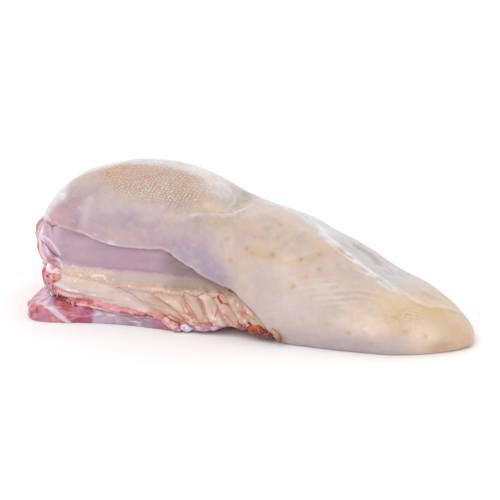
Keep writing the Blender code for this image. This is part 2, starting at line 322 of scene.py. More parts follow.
def closed_mesh(name: str, grid: Array, start: Array, end: Array, flip: bool) -> bpy.types.Mesh:
    """A closed shell over rings of points, with a pole at each end.

    Args:
        name: the mesh's name.
        grid: rings, points and coordinates in millimetres.
        start: the pole before the first ring.
        end: the pole after the last ring.
        flip: whether the faces' order is turned round, so that they point outwards.

    Returns:
        The mesh, in metres.
    """
    rows, columns = grid.shape[:2]
    points = np.concatenate([grid.reshape(-1, 3), [start], [end]]) * MM
    quads = grid_faces(rows, columns)
    first_ring = np.arange(columns)[::-1]
    last_ring = np.arange(columns) + (rows - 1) * columns
    poles = rows * columns, rows * columns + 1
    fans = np.concatenate([fan_faces(first_ring, poles[0]), fan_faces(last_ring, poles[1])])
    way = -1 if flip else 1
    return raw_mesh(name, points, quads[:, ::way], fans[:, ::way])


def raw_mesh(name: str, points: Array, quads: Array, triangles: Array) -> bpy.types.Mesh:
    """A smooth-shaded mesh from whole arrays of points, quads and triangles.

    Args:
        name: the mesh's name.
        points: places in metres.
        quads: four vertex numbers a row.
        triangles: three vertex numbers a row.

    Returns:
        The mesh.
    """
    mesh = bpy.data.meshes.new(name)
    corners = np.concatenate([quads.ravel(), triangles.ravel()]).astype(np.int32)
    sizes = np.concatenate([np.full(len(quads), 4), np.full(len(triangles), 3)])
    starts = np.concatenate([[0], np.cumsum(sizes)[:-1]]).astype(np.int32)
    mesh.vertices.add(len(points))
    mesh.vertices.foreach_set("co", points.astype(np.float32).ravel())
    mesh.loops.add(len(corners))
    mesh.loops.foreach_set("vertex_index", corners)
    mesh.polygons.add(len(sizes))
    mesh.polygons.foreach_set("loop_start", starts)
    mesh.update(calc_edges=True)
    mesh.validate()
    mesh.shade_smooth()
    return mesh


def carry_paint(mesh: bpy.types.Mesh, colour: Array, wet: Array) -> None:
    """Stores the paint as the mesh's own attributes, Tint and Wet.

    Args:
        mesh: the mesh to paint.
        colour: linear colour of each vertex.
        wet: wetness of each vertex.
    """
    count = len(mesh.vertices)
    rgba = np.ones((count, 4), np.float32)
    rgba[:, :3] = colour.reshape(-1, 3) * DEPTH
    tint = mesh.color_attributes.new("Tint", "FLOAT_COLOR", "POINT")
    tint.data.foreach_set("color", rgba.ravel())
    wetness = mesh.attributes.new("Wet", "FLOAT", "POINT")
    wetness.data.foreach_set("value", wet.reshape(-1).astype(np.float32))


def with_poles(values: Array) -> Array:
    """A grid's vertex values with the two poles' values, which are their rings' means."""
    flat = values.reshape(-1, *values.shape[2:])
    return np.concatenate([flat, values[:1].mean(axis=1), values[-1:].mean(axis=1)])


def settle(name: str, mesh: bpy.types.Mesh, finish: "FleshFinish") -> bpy.types.Object:
    """Makes a mesh a piece of the tongue: named, dressed and riding on its body.

    Args:
        name: the piece's name.
        mesh: its mesh.
        finish: its look.

    Returns:
        The piece.
    """
    piece = bpy.data.objects.new(name, mesh)
    bpy.context.scene.collection.objects.link(piece)
    mesh.materials.append(finish.material())
    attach(piece, BODY)
    LOG.info("%s: %d faces", name, len(mesh.polygons))
    return piece


# ---------------------------------------------------------------- shader graph


class Value:
    """A number socket; arithmetic on it adds Math nodes."""

    def __init__(self, graph: "Graph", socket: bpy.types.NodeSocket) -> None:
        """Wraps a node's output."""
        self.graph = graph
        self.socket = socket

    def _math(self, operation: str, first: "Value | float", second: "Value | float") -> "Value":
        """The result of one Math node."""
        return self.graph.value("ShaderNodeMath", {"operation": operation}, {0: first, 1: second})

    def __add__(self, other: "Value | float") -> "Value":
        """self + other."""
        return self._math("ADD", self, other)

    def __sub__(self, other: "Value | float") -> "Value":
        """self - other."""
        return self._math("SUBTRACT", self, other)

    def __rsub__(self, other: "Value | float") -> "Value":
        """other - self."""
        return self._math("SUBTRACT", other, self)

    def __mul__(self, other: "Value | float") -> "Value":
        """self * other."""
        return self._math("MULTIPLY", self, other)


class Graph:
    """The node tree of one material."""

    def __init__(self, name: str) -> None:
        """Makes an empty material."""
        self.material = bpy.data.materials.new(name)
        self.material.use_nodes = True
        self.tree = self.material.node_tree
        self.tree.nodes.clear()

    def node(self, kind: str, settings: dict, inputs: dict) -> bpy.types.Node:
        """Adds a node.

        Args:
            kind: its type.
            settings: its properties, set first.
            inputs: a value or a link for each socket, by name or number.

        Returns:
            The node.
        """
        made = self.tree.nodes.new(kind)
        for name, setting in settings.items():
            setattr(made, name, setting)
        for key, given in inputs.items():
            if isinstance(given, Value):
                self.tree.links.new(given.socket, made.inputs[key])
            else:
                made.inputs[key].default_value = given
        return made

    def value(self, kind: str, settings: dict, inputs: dict, output: int | str = 0) -> Value:
        """Adds a node and returns one of its outputs."""
        return Value(self, self.node(kind, settings, inputs).outputs[output])

    def mix(self, blend: str, share: Value | float, first: Value | tuple, second: Value | tuple) -> Value:
        """A colour between two, by Mix.

        Args:
            blend: how they mix.
            share: how much of the second.
            first: colour.
            second: colour.

        Returns:
            The mixed colour.
        """
        settings = {"data_type": "RGBA", "blend_type": blend}
        # Mix keeps its colour sockets at places 6 and 7 and its colour result at place 2
        return self.value("ShaderNodeMix", settings, {0: share, 6: first, 7: second}, 2)


@dataclass(frozen=True)
class FleshFinish:
    """Wet flesh: painted colour under fine mottling, with a film of moisture over it."""

    name: str
    roughness: float = 0.46
    wet_drop: float = 0.24
    coat: float = 0.35
    coat_roughness: float = 0.12
    scatter: float = 0.18
    scatter_scale: float = 0.0022
    mottle_size: float = 0.006
    mottle_dark: Rgb = (0.93, 0.91, 0.90)
    mottle_light: Rgb = (1.04, 1.04, 1.04)
    pore_size: float = 0.0011
    pore_depth: float = 0.00012
    ripple_size: float = 0.004
    ripple_depth: float = 0.0002
    specular: float = 0.5
    rough_swing: float = 0.16
    scatter_reach: Rgb = (1.0, 0.55, 0.42)
    flesh_ior: float = 1.38
    film_ior: float = 1.36

    def material(self) -> bpy.types.Material:
        """The material, made once and then shared."""
        known = bpy.data.materials.get(self.name)
        return known if known else self._make()

    def _make(self) -> bpy.types.Material:
        """Builds the nodes: tint times mottling, roughness from wetness, bump from pores and ripples."""
        g = Graph(self.name)
        place = g.value("ShaderNodeTexCoord", {}, {}, "Object")
        tint = g.value("ShaderNodeAttribute", {"attribute_name": "Tint"}, {}, "Color")
        wet = g.value("ShaderNodeAttribute", {"attribute_name": "Wet"}, {}, "Fac")
        mottle = self._noise(g, place, self.mottle_size, 4.0)
        pores = self._noise(g, place, self.pore_size, 2.0)
        ripples = self._noise(g, place, self.ripple_size, 3.0)
        veil = g.mix("MIX", mottle, (*self.mottle_dark, 1.0), (*self.mottle_light, 1.0))
        colour = g.mix("MULTIPLY", 1.0, tint, veil)
        rough = self.roughness - wet * self.wet_drop + (mottle - 0.5) * self.rough_swing
        height = pores * (1.3 - wet) * (self.pore_depth / MM) + ripples * (self.ripple_depth / MM)
        bump = g.value("ShaderNodeBump", {}, {"Strength": 1.0, "Distance": MM, "Height": height})
        inputs = {
            "Base Color": colour, "Roughness": rough, "Normal": bump, "IOR": self.flesh_ior,
            "Specular IOR Level": self.specular, "Subsurface Weight": self.scatter,
            "Subsurface Radius": self.scatter_reach, "Subsurface Scale": self.scatter_scale,
            "Coat Weight": self.coat, "Coat Roughness": self.coat_roughness, "Coat IOR": self.film_ior,
        }
        shader = g.node("ShaderNodeBsdfPrincipled", {"subsurface_method": "RANDOM_WALK"}, inputs)
        out = g.node("ShaderNodeOutputMaterial", {}, {})
        g.tree.links.new(shader.outputs["BSDF"], out.inputs["Surface"])
        return g.material

    @staticmethod
    def _noise(g: Graph, place: Value, size: float, detail: float) -> Value:
        """Noise whose patches are about size across, in metres."""
        return g.value(
            "ShaderNodeTexNoise", {}, {"Vector": place, "Scale": 1 / size, "Detail": detail}, "Fac"
        )


# ---------------------------------------------------------------- the mucosa-covered body


@dataclass
class TongueBody:
    """The mucosa-covered body: thick back, groove, rolled blade and blunt tip. Sizes in millimetres."""

    root_x: float = -147.0
    tip_x: float = 153.0
    root_rounding: tuple[float, float] = (-112.0, 2.0)
    tip_rounding: tuple[float, float] = (103.5, 2.25)
    root_aim: tuple[float, float] = (-2.0, 52.0)
    tip_aim: tuple[float, float] = (-7.5, 4.0)
    rings: tuple[int, int, int] = (62, 118, 150)
    splits: tuple[float, float] = (-60.0, 12.0)
    quarters: tuple[int, int, int, int] = (88, 122, 48, 26)
    near_roundness: float = 2.15
    under_roundness: tuple[float, float] = (2.0, 2.4)
    groove_centre: tuple[float, float] = (-70.0, 3.0)
    groove_radii: tuple[float, float] = (64.0, 38.0)
    groove_scale: float = 50
    shoulder: tuple = (
        (-31, -37.5, 79), (-25, -35.5, 79), (-15.5, -31, 78), (-7.5, -27.5, 77.5), (-3.5, -24.5, 78),
        (-0.5, -19.5, 78.5), (1.5, -10.5, 78.5), (4, -3.5, 79), (7, 8.5, 78.5),
    )
    # lines on the blade for a painted shade line in the crease and a painted highlight beside it
    blade_crease: tuple = ((25, -33, 57), (31, -27, 61.5), (38, -17, 65), (42, -8.5, 66))
    blade_highlight: tuple = ((33, -34, 54.5), (42, -30, 56), (52, -20, 58))
    # crest line before the tip, where a painted highlight goes
    tip_highlight: tuple = ((96, -15, 37.5), (104, -14, 34), (114, -15, 29.5))
    far_folds: tuple = (
        ((80, 8, 44), (87, 6, 41), (93, 3, 39)), ((85, 14, 42.5), (91, 12.5, 39.5), (97, 7, 37)),
        ((62, 4, 56), (68, 5, 53), (73, 3, 50.5))
    )
    # line of the crease under the back, where a painted shade line goes
    under_back: tuple = (
        (-24, -34, 80), (-17, -31, 79), (-12.5, -28, 78.5), (-8.5, -26, 79), (-4.5, -23.5, 79)
    )
    yellow_rim: tuple = (
        (-28, -31, 82), (-22.5, -28.5, 81.5), (-18.5, -26.5, 80), (-14.5, -24.5, 79.5), (-11, -20.5, 79.5),
        (-9.5, -15.5, 79.5)
    )
    lip_end: tuple = ((-136, -26, 69.5), (-134, -28, 68), (-129.6, -34, 65.9), (-127.6, -36.5, 62))
    lip_reach: Table = table({
        -150: -32, -128: -40, -100: -43.5, -54: -46, 60: -46, 100: -43, 120: -38, 152: -27})
    lip_height: Table = table({
        -150: 64, -122: 63.5, -107: 62.6, -91: 58.6, -75: 55, -56: 56.6, -44: 57, -36: 53, -25: 46.5,
        -15: 41, -7: 38.5, 1: 36, 7: 31.5, 13: 26.5, 21: 19, 29: 11, 60: 12, 152: 8})
    crest_side: Table = table({-150: 0, -113: 3, -47: 3, 42: -5})
    crest_height: Table = table({
        -150: 80, -128: 87.5, -103: 95, -80: 100.6, -61: 101, -33: 96, -20: 90.8, -8: 84.6, 8: 79, 42: 66,
        76: 48.5, 101: 35.5, 130: 26, 152: 15})
    far_reach: Table = table({-150: 32, -120: 40, -60: 45, 60: 43, 101: 38, 130: 32, 152: 27})
    far_height: Table = table({-150: 62, -60: 56, -20: 48, 24: 45, 60: 35, 90: 24, 130: 14, 152: 8})
    belly_side: Table = table({-20: 0, 0: -10, 42: -27, 90: -28, 120: -22, 152: -8})
    belly_height: Table = table({
        -150: 58, -40: 49.5, -20: 40, 0: 32, 13: 20, 24: 6, 34: -3, 42: -5, 152: -5})
    far_roundness: Table = table({
        -150: 2.1, -60: 2.1, -10: 1.85, 12: 2.1, 38: 2.7, 54: 2.55, 68: 2.9, 152: 2.5})
    brown_spots: tuple = (  # place, strength
        (10, -37, 60, 0.9), (14, -37, 57, 0.9), (26, -33, 56, 0.9), (1, -43, 53, 0.8), (44, -31, 54, 0.9),
        (54, -23, 56, 0.7), (42, -41, 39, 0.7), (19, -22, 69, 0.8), (16, -11, 73, 0.5), (11, -30, 67, 0.6),
        (13, -30, 66, 0.5), (17, -29, 65, 0.6), (49, -37, 45, 0.5), (50, -37, 46, 0.4), (56, -31, 49, 0.5),
        (25, -14, 70, 0.4), (27, -24, 65, 0.4), (-3, -37, 65, 0.5), (2, -31, 69, 0.4), (80, -45, 14, 0.45),
        (94, -43, 8, 0.35), (114, -37, 16, 0.55), (126, -33, 13, 0.35), (107, -35, 24, 0.35),
        (66, -45, 19, 0.3),
    )
    spot_radii: tuple[float, float] = (1.25, 3.4)
    ridge: tuple = (
        (28, 18, 69), (41, 12, 65), (53, 0.5, 61), (60, -4, 58), (67, -6, 54), (72, -7, 51), (80, -12, 46),
        (88, -12, 42), (98, -13, 36.5),
    )
    dent: tuple = ((70, 14.5, 50), (76, 15.5, 47.3), (80, 14.5, 45.4), (85, 10.5, 42.8))
    grey_from: Table = table({
        0: -4, 18: 11, 32: 9, 46: 0, 56: -5, 72: -9, 84: -15, 98: -16, 118: -8, 138: 12})
    tip_ridge: tuple = (
        (108, -14, 32), (115, -17, 29), (122, -15.5, 26.5), (128, -9.5, 23.5), (135, 0, 20), (141, 8, 15),
    )

    # patches of colour: centre, radii, colour, share; the lavender and mauve ones low down the near side are
    # partly their own colour, partly painted shade
    back_patches: tuple = (
        ((-70, -42, 73), (21, 12, 6.5), (172, 152, 175), 0.95),
        ((-62, -41, 76), (6, 8, 3), (176, 160, 186), 0.6),
        ((-88, -38, 79), (12, 12, 6), (196, 184, 182), 0.6),
        ((-84, -40, 70), (5, 10, 9), (190, 172, 184), 0.6),
        ((-24, -45, 53), (14, 10, 8), (176, 158, 176), 0.9),
        ((-11, -46, 45), (11, 8, 7), (174, 158, 184), 0.85),
        ((0, -46, 33), (11, 8, 9), (160, 141, 154), 0.9),
        ((-36, -45, 59), (13, 8, 6), (176, 162, 188), 0.85),
        ((-94, -15, 95.5), (17, 8, 7), (214, 182, 152), 0.9),
        ((-92, -16, 95.5), (8, 4, 4), (212, 160, 112), 0.6),
        ((-78, -12, 98), (8, 6, 5), (224, 178, 142), 0.6),
        ((-56, -14, 97), (20, 9, 7), (212, 184, 164), 0.6),
        ((-62, -30, 90), (20, 9, 7), (194, 174, 172), 0.7),
        ((-22, -12, 91), (12, 12, 8), (224, 210, 203), 0.95),
        # painted light: this yellow patch is lightened against the shade of the groove
        ((-18, -25, 83.5), (9, 5, 4), (246, 220, 200), 0.95),
        ((-14, -14, 88), (5, 8, 5), (230, 220, 218), 0.6),
        ((-40, -39, 77), (9, 6, 2.6), (224, 186, 176), 0.9),
        ((-55, -42, 75), (5, 6, 2.6), (216, 184, 176), 0.7),
        ((-19, -33.5, 74), (9, 6, 3.2), (208, 180, 160), 0.85),
        ((-24, -35, 75), (3, 3, 2), (190, 150, 116), 0.6),
        ((-8, -32, 73), (9, 6, 3.5), (206, 177, 150), 0.8),
        ((-38, -42, 69), (12, 8, 4), (200, 188, 188), 0.6), ((-6, 8, 88), (5, 7, 4), (214, 178, 170), 0.7),
        ((-5, -45.5, 40), (8, 8, 6), (166, 147, 160), 0.8),
        ((-45, -45.5, 60), (10, 8, 4), (172, 149, 160), 0.85),
        ((-97, -32, 84), (13, 12, 8), (186, 170, 171), 0.7)
    )
    blade_patches: tuple = (
        ((0, -34, 66), (12, 10, 7), (206, 190, 182), 0.8), ((12, -30, 64), (13, 9, 8), (214, 190, 173), 0.8),
        ((16, -12, 73), (12, 10, 6), (214, 196, 178), 0.7), ((8, -26, 68), (4, 4, 3), (216, 178, 140), 0.6),
        ((32, -16, 63), (18, 11, 8), (213, 193, 176), 0.8),
        ((52, -12, 58), (12, 9, 6), (216, 192, 166), 0.8), ((70, -10, 50), (12, 7, 6), (216, 194, 172), 0.7),
        ((40, -38, 46), (20, 12, 10), (218, 201, 192), 0.9),
        ((62, -38, 38), (18, 12, 9), (219, 204, 195), 0.8),
        ((22, -44, 38), (10, 12, 9), (208, 194, 190), 0.8),
        ((42, -45, 26), (22, 12, 10), (214, 200, 198), 0.9),
        ((66, -45, 18), (16, 12, 9), (212, 196, 190), 0.7), ((60, -34, 45), (8, 6, 3), (222, 194, 186), 0.6)
    )
    tip_patches: tuple = (
        ((90, -42, 18), (15, 10, 10), (240, 217, 202), 1),
        ((102, -30, 30), (12, 9, 6), (228, 204, 174), 0.9),
        ((114, -24, 27), (17, 12, 7), (228, 200, 162), 0.95),
        ((128, -14, 22), (13, 10, 6), (224, 190, 148), 0.9),
        ((120, -37, 10), (11, 10, 5), (234, 210, 196), 0.85),
        ((104, -42, 8), (12, 10, 5), (226, 206, 200), 0.7),
        ((144, -16, 11), (10, 15, 9), (224, 188, 156), 0.95),
        ((136, -27, 5), (10, 8, 4), (206, 168, 146), 0.8), ((126, 4, 24), (14, 8, 6), (212, 190, 164), 0.9),
        ((136, 10, 17), (16, 10, 8), (212, 186, 158), 0.95),
        ((126, -32, 14), (14, 9, 5), (242, 218, 194), 0.9),
        ((110, -37, 18), (7, 7, 5), (236, 206, 172), 0.8), ((104, -36, 23), (8, 7, 4), (226, 196, 154), 0.7)
    )
    tan_line: tuple = (
        (14, -37, 57), (26, -33.5, 56), (36, -34, 53), (47, -30, 54), (54, -22, 56), (58, -12, 58),
        (72, -9, 52), (84, -8, 45)
    )

    def stations(self) -> Array:
        """Places of the rings along X, closer together at both round ends.

        Returns:
            The places in millimetres, from root to tip.
        """
        turn = np.linspace(0, math.pi / 2, self.rings[0] + 1)[1:]
        root = self.root_x + (self.splits[0] - self.root_x) * (1 - np.cos(turn))
        middle = np.linspace(*self.splits, self.rings[1] + 1)[1:]
        turn = np.linspace(0, math.pi / 2, self.rings[2] + 1)[1:-1]
        blade = self.splits[1] + (self.tip_x - self.splits[1]) * np.sin(turn)
        return np.concatenate([root, middle, blade])

    def angles(self) -> Array:
        """Angles of a ring's points from the far side over the crest, by quarters."""
        quarters = [
            (i + np.arange(count) / count) * math.pi / 2 for i, count in enumerate(self.quarters)
        ]
        return np.concatenate(quarters)

    def fullness(self, x: Array) -> Array:
        """How full a ring is: 1 along the length, falling to 0 at both ends as a superellipse.

        Args:
            x: the rings' places.

        Returns:
            The factor of each ring.
        """
        begin, power = self.root_rounding
        back = np.clip((begin - x) / (begin - self.root_x), 0, 1)
        front_begin, front_power = self.tip_rounding
        ahead = np.clip((x - front_begin) / (self.tip_x - front_begin), 0, 1)
        return (1 - back**power) ** (1 / power) * (1 - ahead**front_power) ** (1 / front_power)

    @staticmethod
    def lip_wander(x: Array) -> Array:
        """How far the free edge wanders up and down along X."""
        line = np.stack([x, x * 0, x * 0], axis=-1)
        return 0.8 * noise(line, 9, 3) + 0.6 * noise(line, 3.6, 4) + 0.3 * noise(line, 1.9, 5)

    def rings_of(self, x: Array, angles: Array) -> Array:
        """Closed sections: four superellipse quarters through the near, top, far and under lines.

        Args:
            x: the rings' places.
            angles: the points' angles, 0 on the far side, a quarter turn at the crest.

        Returns:
            Rings of points, before the relief.
        """
        wander = self.lip_wander(x) * ease(-142, -125, x) * ease(34, 14, x)
        near = (along(self.lip_reach, x), along(self.lip_height, x) + wander)
        crest = (along(self.crest_side, x), along(self.crest_height, x))
        far = (along(self.far_reach, x), along(self.far_height, x))
        belly = (along(self.belly_side, x), along(self.belly_height, x))
        wave_y = np.cos(angles)[None]
        wave_z = np.sin(angles)[None]
        grid = np.zeros((len(x), len(angles), 3))
        grid[..., 0] = x[:, None]
        far_power = along(self.far_roundness, x)
        under_far, under_near = self.under_roundness
        quarters = (
            (wave_y <= 0, wave_z >= 0, near, crest, self.near_roundness),
            (wave_y > 0, wave_z >= 0, far, crest, far_power),
            (wave_y > 0, wave_z < 0, far, belly, under_far),
            (wave_y <= 0, wave_z < 0, near, belly, under_near),
        )
        for side_test, height_test, side, pole, power in quarters:
            power = np.broadcast_to(power, len(x))[:, None]
            y = pole[0][:, None] + np.abs(side[0] - pole[0])[:, None] * rounded(wave_y, power)
            z = side[1][:, None] + np.abs(pole[1] - side[1])[:, None] * rounded(wave_z, power)
            here = side_test & height_test
            grid[..., 1] = np.where(here, y, grid[..., 1])
            grid[..., 2] = np.where(here, z, grid[..., 2])
        aim = [np.where(x > 0, tip, root) for root, tip in zip(self.root_aim, self.tip_aim)]
        centre = np.stack(aim, -1)[:, None]
        full = self.fullness(x)[:, None, None]
        grid[..., 1:] = centre + (grid[..., 1:] - centre) * full
        return grid

    def groove_place(self, grid: Array) -> tuple[Array, Array]:
        """How far outside the groove's line each point lies, and its bearing in degrees.

        The line is a fuller superellipse on the near side, and swings back on the far side.

        Args:
            grid: the body's points.

        Returns:
            The distance in millimetres, and the bearing from ahead, positive to the far side.
        """
        swing = 0.022 * np.clip(grid[..., 1] + 14, 0, 40) ** 2
        from_x = (grid[..., 0] + swing - self.groove_centre[0]) / self.groove_radii[0]
        from_y = (grid[..., 1] - self.groove_centre[1]) / self.groove_radii[1]
        power = 2 + 1 * ease(0.1, -0.3, from_y)
        reach = (np.abs(from_x) ** power + np.abs(from_y) ** power) ** (1 / power)
        return (reach - 1) * self.groove_scale, np.degrees(np.arctan2(from_y, from_x))

    def groove(self, grid: Array, angles: Array) -> Array:
        """Relief of the groove round the thick back: a hollow in front, a crease and a ridge at its side.

        Args:
            grid: the body's points.
            angles: the points' angles.

        Returns:
            Millimetres along the normal.
        """
        outside, bearing = self.groove_place(grid)
        to_front = ease(-42, -12, bearing)
        # by bearing: ahead the groove is a deep hollow, at the near side a crease, further back a bank
        front = to_front * ease(34, 4, bearing)
        side = ease(-54, -42, bearing) * (1 - to_front)
        shallow = ease(-100, -60, bearing) * (1 - to_front)
        inner = 3.2 - 1.4 * to_front
        width = np.where(outside < 0, inner, 3.0 + 7.5 * front)
        cut = np.exp(-((outside / width) ** 2)) * (3.2 * front + 2.6 * side)
        bank = 0.7 * hump(outside, 8, 6) * shallow
        bank += 1.6 * trace(grid, self.shoulder, 2.6) * within(grid[..., 0], -27, 4, 4)
        bulge = 0.9 * hump(outside, -7, 5) * np.maximum(front, side) * ease(12, -2, grid[..., 1])
        bulge += 0.6 * np.exp(-(((outside + 1.8) / 1.5) ** 2)) * front
        return (bank + bulge - cut) * ease(-0.1, 0.35, np.sin(angles))[None]

    @staticmethod
    def wrinkles(grid: Array) -> tuple[Array, Array]:
        """Fine parallel creases on the blade: a sine of the height in a patch, bowed along X.

        Args:
            grid: the body's points.

        Returns:
            Their relief in millimetres, and the wave from -1 to 1 where they are.
        """
        x, y, z = np.moveaxis(grid, -1, 0)
        height = 0.945 * z + 0.31 * y - 0.1 * x + 0.006 * (x - 74) ** 2
        patch = np.exp(-(((x - 72) / 26) ** 2) - ((z + 0.12 * (x - 72) - 38) / 9) ** 2) * ease(-12, -24, y)
        patch *= ease(-0.8, 0.1, noise(grid, 9, 15))
        wave = np.sin(height * 2 * math.pi / 4.4 + 2.2 * noise(grid, 16, 13))
        return 0.36 * wave * patch, wave * patch

    def relief(self, grid: Array, angles: Array) -> Array:
        """Everything that moves the surface along its normal, in millimetres.

        Args:
            grid: the body's points.
            angles: the points' angles.

        Returns:
            The height at each point.
        """
        x, y, _ = np.moveaxis(grid, -1, 0)
        swell = 0.45 * fractal(grid, 24, 11, 2) + 0.16 * fractal(grid, 6, 17, 2)
        swell *= ease(-147, -120, x) * ease(152, 130, x)
        far_dents = -0.8 * np.clip(noise(grid, (9, 12, 9), 23), 0, 1) * ease(2, 14, y) * ease(40, 60, x)
        dent = -1.3 * trace(grid, self.dent, 4.5)
        crest = 0.7 * trace(grid, self.ridge, 2.6)
        crest += 0.6 * trace(grid, self.tip_ridge, 1.7)
        pits = np.zeros(x.shape)
        for *spot, strength in self.brown_spots:
            away = np.linalg.norm(grid - np.array(spot), axis=-1)
            pits -= 0.3 * strength * np.exp(-((away / 1.3) ** 2))
        lip = 0.35 * hump(np.degrees(angles)[None], 184, 6) * ease(-140, -125, x) * ease(30, 15, x)
        lip += 0.7 * trace(grid, self.lip_end, 0.8)
        return (
            self.groove(grid, angles) + swell + far_dents + dent + crest + pits + lip
            + self.wrinkles(grid)[0]
        )

    def paint(self, grid: Array) -> Paint:
        """Colours of the mucosa, from the broad tones to the small marks.

        Args:
            grid: the body's points.

        Returns:
            The colours.
        """
        paint = Paint(grid.shape[:2], (214, 195, 183), 0.5)
        self.paint_back(paint, grid)
        self.paint_blade(paint, grid)
        self.paint_clouds(paint, grid)
        self.paint_edge(paint, grid)
        return paint

    @staticmethod
    def spot(paint: Paint, grid: Array, centre: Rgb, radius: Rgb, colour: Rgb, share: float) -> None:
        """Lays a soft round patch whose edge wanders a little.

        Args:
            paint: takes the coats.
            grid: the body's points.
            centre: its middle.
            radius: its radii along X, Y and Z.
            colour: screen colour, 0 to 255.
            share: how much it covers in the middle.
        """
        away = np.linalg.norm((grid - np.array(centre)) / np.array(radius), axis=-1)
        away *= 1 + 0.25 * noise(grid, 7, 29)
        paint.lay(colour, np.exp(-(away**2.4)) * share)

    def paint_back(self, paint: Paint, grid: Array) -> None:
        """The thick back: greyish beige above, lavender and pink down its near side.

        Args:
            paint: takes the coats.
            grid: the body's points.
        """
        lay = paint.lay
        x, y, z = np.moveaxis(grid, -1, 0)
        wander = 2.5 * noise(grid, 9, 33)
        outside, bearing = self.groove_place(grid)
        near = ease(-18, -36, y)
        back = ease(6, -30, x)
        above = z - along(self.lip_height, x) - self.lip_wander(x)
        lay((197, 179, 175), back)
        lay((192, 174, 175), back * ease(-60, -90, x) * 0.8)
        lay((205, 186, 178), back * ease(4, -8, outside) * ease(72, 88, z) * ease(-112, -90, x) * 0.7)
        # partly own colour, partly painted shade: the near side below the crest is darker mauve
        lay((194, 174, 178), back * near * ease(80, 70, z + wander))
        for centre, radius, colour, share in self.back_patches:
            self.spot(paint, grid, centre, radius, colour, share)
            if centre[1] < -20:  # the same on the far side
                self.spot(paint, grid, (centre[0] - 7, -centre[1], centre[2]), radius, colour, 0.8 * share)
        low = hump(above + 0.5 * wander, 6, 4.5) * ease(-112, -95, x) * ease(-30, -52, x)
        lay((200, 168, 180), back * near * low * 0.9)
        wedge = ease(-103, -105.5, x + 0.2 * wander) * near * ease(86, 79, z + 0.4 * (x + 104))
        lay((186, 151, 161), wedge * 0.9)
        lay((206, 164, 170), wedge * hump(above, 5, 5) * ease(-108, -116, x) * 0.8)
        lay((186, 150, 164), wedge * hump(x, -107.5, 3.5) * ease(84, 70, z) * 0.6)
        lay((206, 196, 202), near * hump(x + 0.2 * wander, -100, 2.4) * within(z, 66, 80, 5) * 0.6)
        # painted highlight: the upper-left rim of the back is whitened where it catches the light, flecked
        # with blue-grey
        rim = ease(-117, -125, x + 0.5 * (y + 24) + 0.3 * wander) * ease(-36, -27, y) * ease(62, 70, z)
        lay((224, 220, 227), rim * 0.85, 0.9)
        lay((248, 248, 251), rim * ease(0.1, 0.5, fractal(grid, (4, 2.4, 5), 35)) * 0.8, 1)
        lay((150, 156, 176), rim * ease(0.55, 0.75, noise(grid, 1.8, 36)) * 0.5)
        end_line = smooth_line(self.lip_end)
        outer = (
            ease(0.5, -1, x - np.interp(z, end_line[::-1, 2], end_line[::-1, 0])) * within(z, 62, 69, 1)
            * ease(-20, -25, y)
        )
        lay((221, 200, 213), outer * 0.9, 0.9)
        lay((198, 146, 160), outer * ease(0.1, 0.5, noise(grid, 3, 38)) * 0.6)
        # painted highlight along the ridge at the end of the free edge
        lay((238, 224, 231), stroke(grid, self.lip_end, 0.3, 0.8), 0.9)
        # partly the top's own paleness, partly painted light: the crown of the back is lighter where light
        # falls from above
        crown = ease(-12, -4, y) * ease(34, 22, y + 2 * wander) * ease(76, 88, z + wander)
        lay((226, 224, 224), back * crown * 0.95)
        # painted shade in the hollow in front of the thick back
        hollow = within(x, -9, 8, 4) * within(y, -17, 28, 3) * ease(72, 79, z) * ease(-1.4, 0.6, outside)
        lay((170, 154, 138), hollow * 0.9)
        # painted highlights along the front edge and along the shoulder below it
        arc = hump(outside, -1.8, 1.5) * within(bearing, -30, 16, 12) * ease(70, 78, z)
        lay((236, 228, 224), arc * 0.75)
        rim_grain = ease(-0.3, 0.4, fractal(grid, 2.4, 173, 2))
        lay((226, 202, 160), stroke(grid, self.yellow_rim, 1, 2.6) * rim_grain * 0.75)
        light = stroke(grid, self.shoulder, 0.4, 1.8) * ease(-30, -24, x) * ease(6, -2, x)
        lay((240, 230, 220), light * 0.85)
        self.spot(paint, grid, (7, -8, 77), (11, 12, 5), (220, 213, 203), 0.7 * ease(0.6, 1.6, outside))
        # painted shade: a thin dark line in the crease under the back, above the shoulder
        lay((186, 142, 118), stroke(grid, self.under_back, 0.1, 1.2) * 0.6)
        points_here = Papillae().strength(grid.reshape(-1, 3)).reshape(x.shape)
        # partly own colour, partly painted shade: the ground between the points is darker
        lay((192, 165, 150), points_here * (0.6 - 0.2 * ease(-75, -50, x) * ease(86, 92, z)))
        lay((202, 160, 132), points_here * ease(0, 0.7, fractal(grid, 7, 45, 3)) * ease(88, 92, z) * 0.6)
        blotch = bell(grid, (-92, -17, 95), (20, 8, 6))
        lay((204, 144, 92), blotch * ease(0, 0.4, fractal(grid, 2.6, 43, 2)) * 0.85)
        lay((222, 186, 140), blotch * ease(0.1, 0.5, fractal(grid, 5, 46, 2)) * 0.5)
        lay((224, 188, 148), points_here * ease(0, 0.5, fractal(grid, 6, 48, 2)) * 0.5)
        lay((206, 188, 148), blotch * ease(0.1, 0.6, noise(grid, 3.4, 47)) * 0.6)

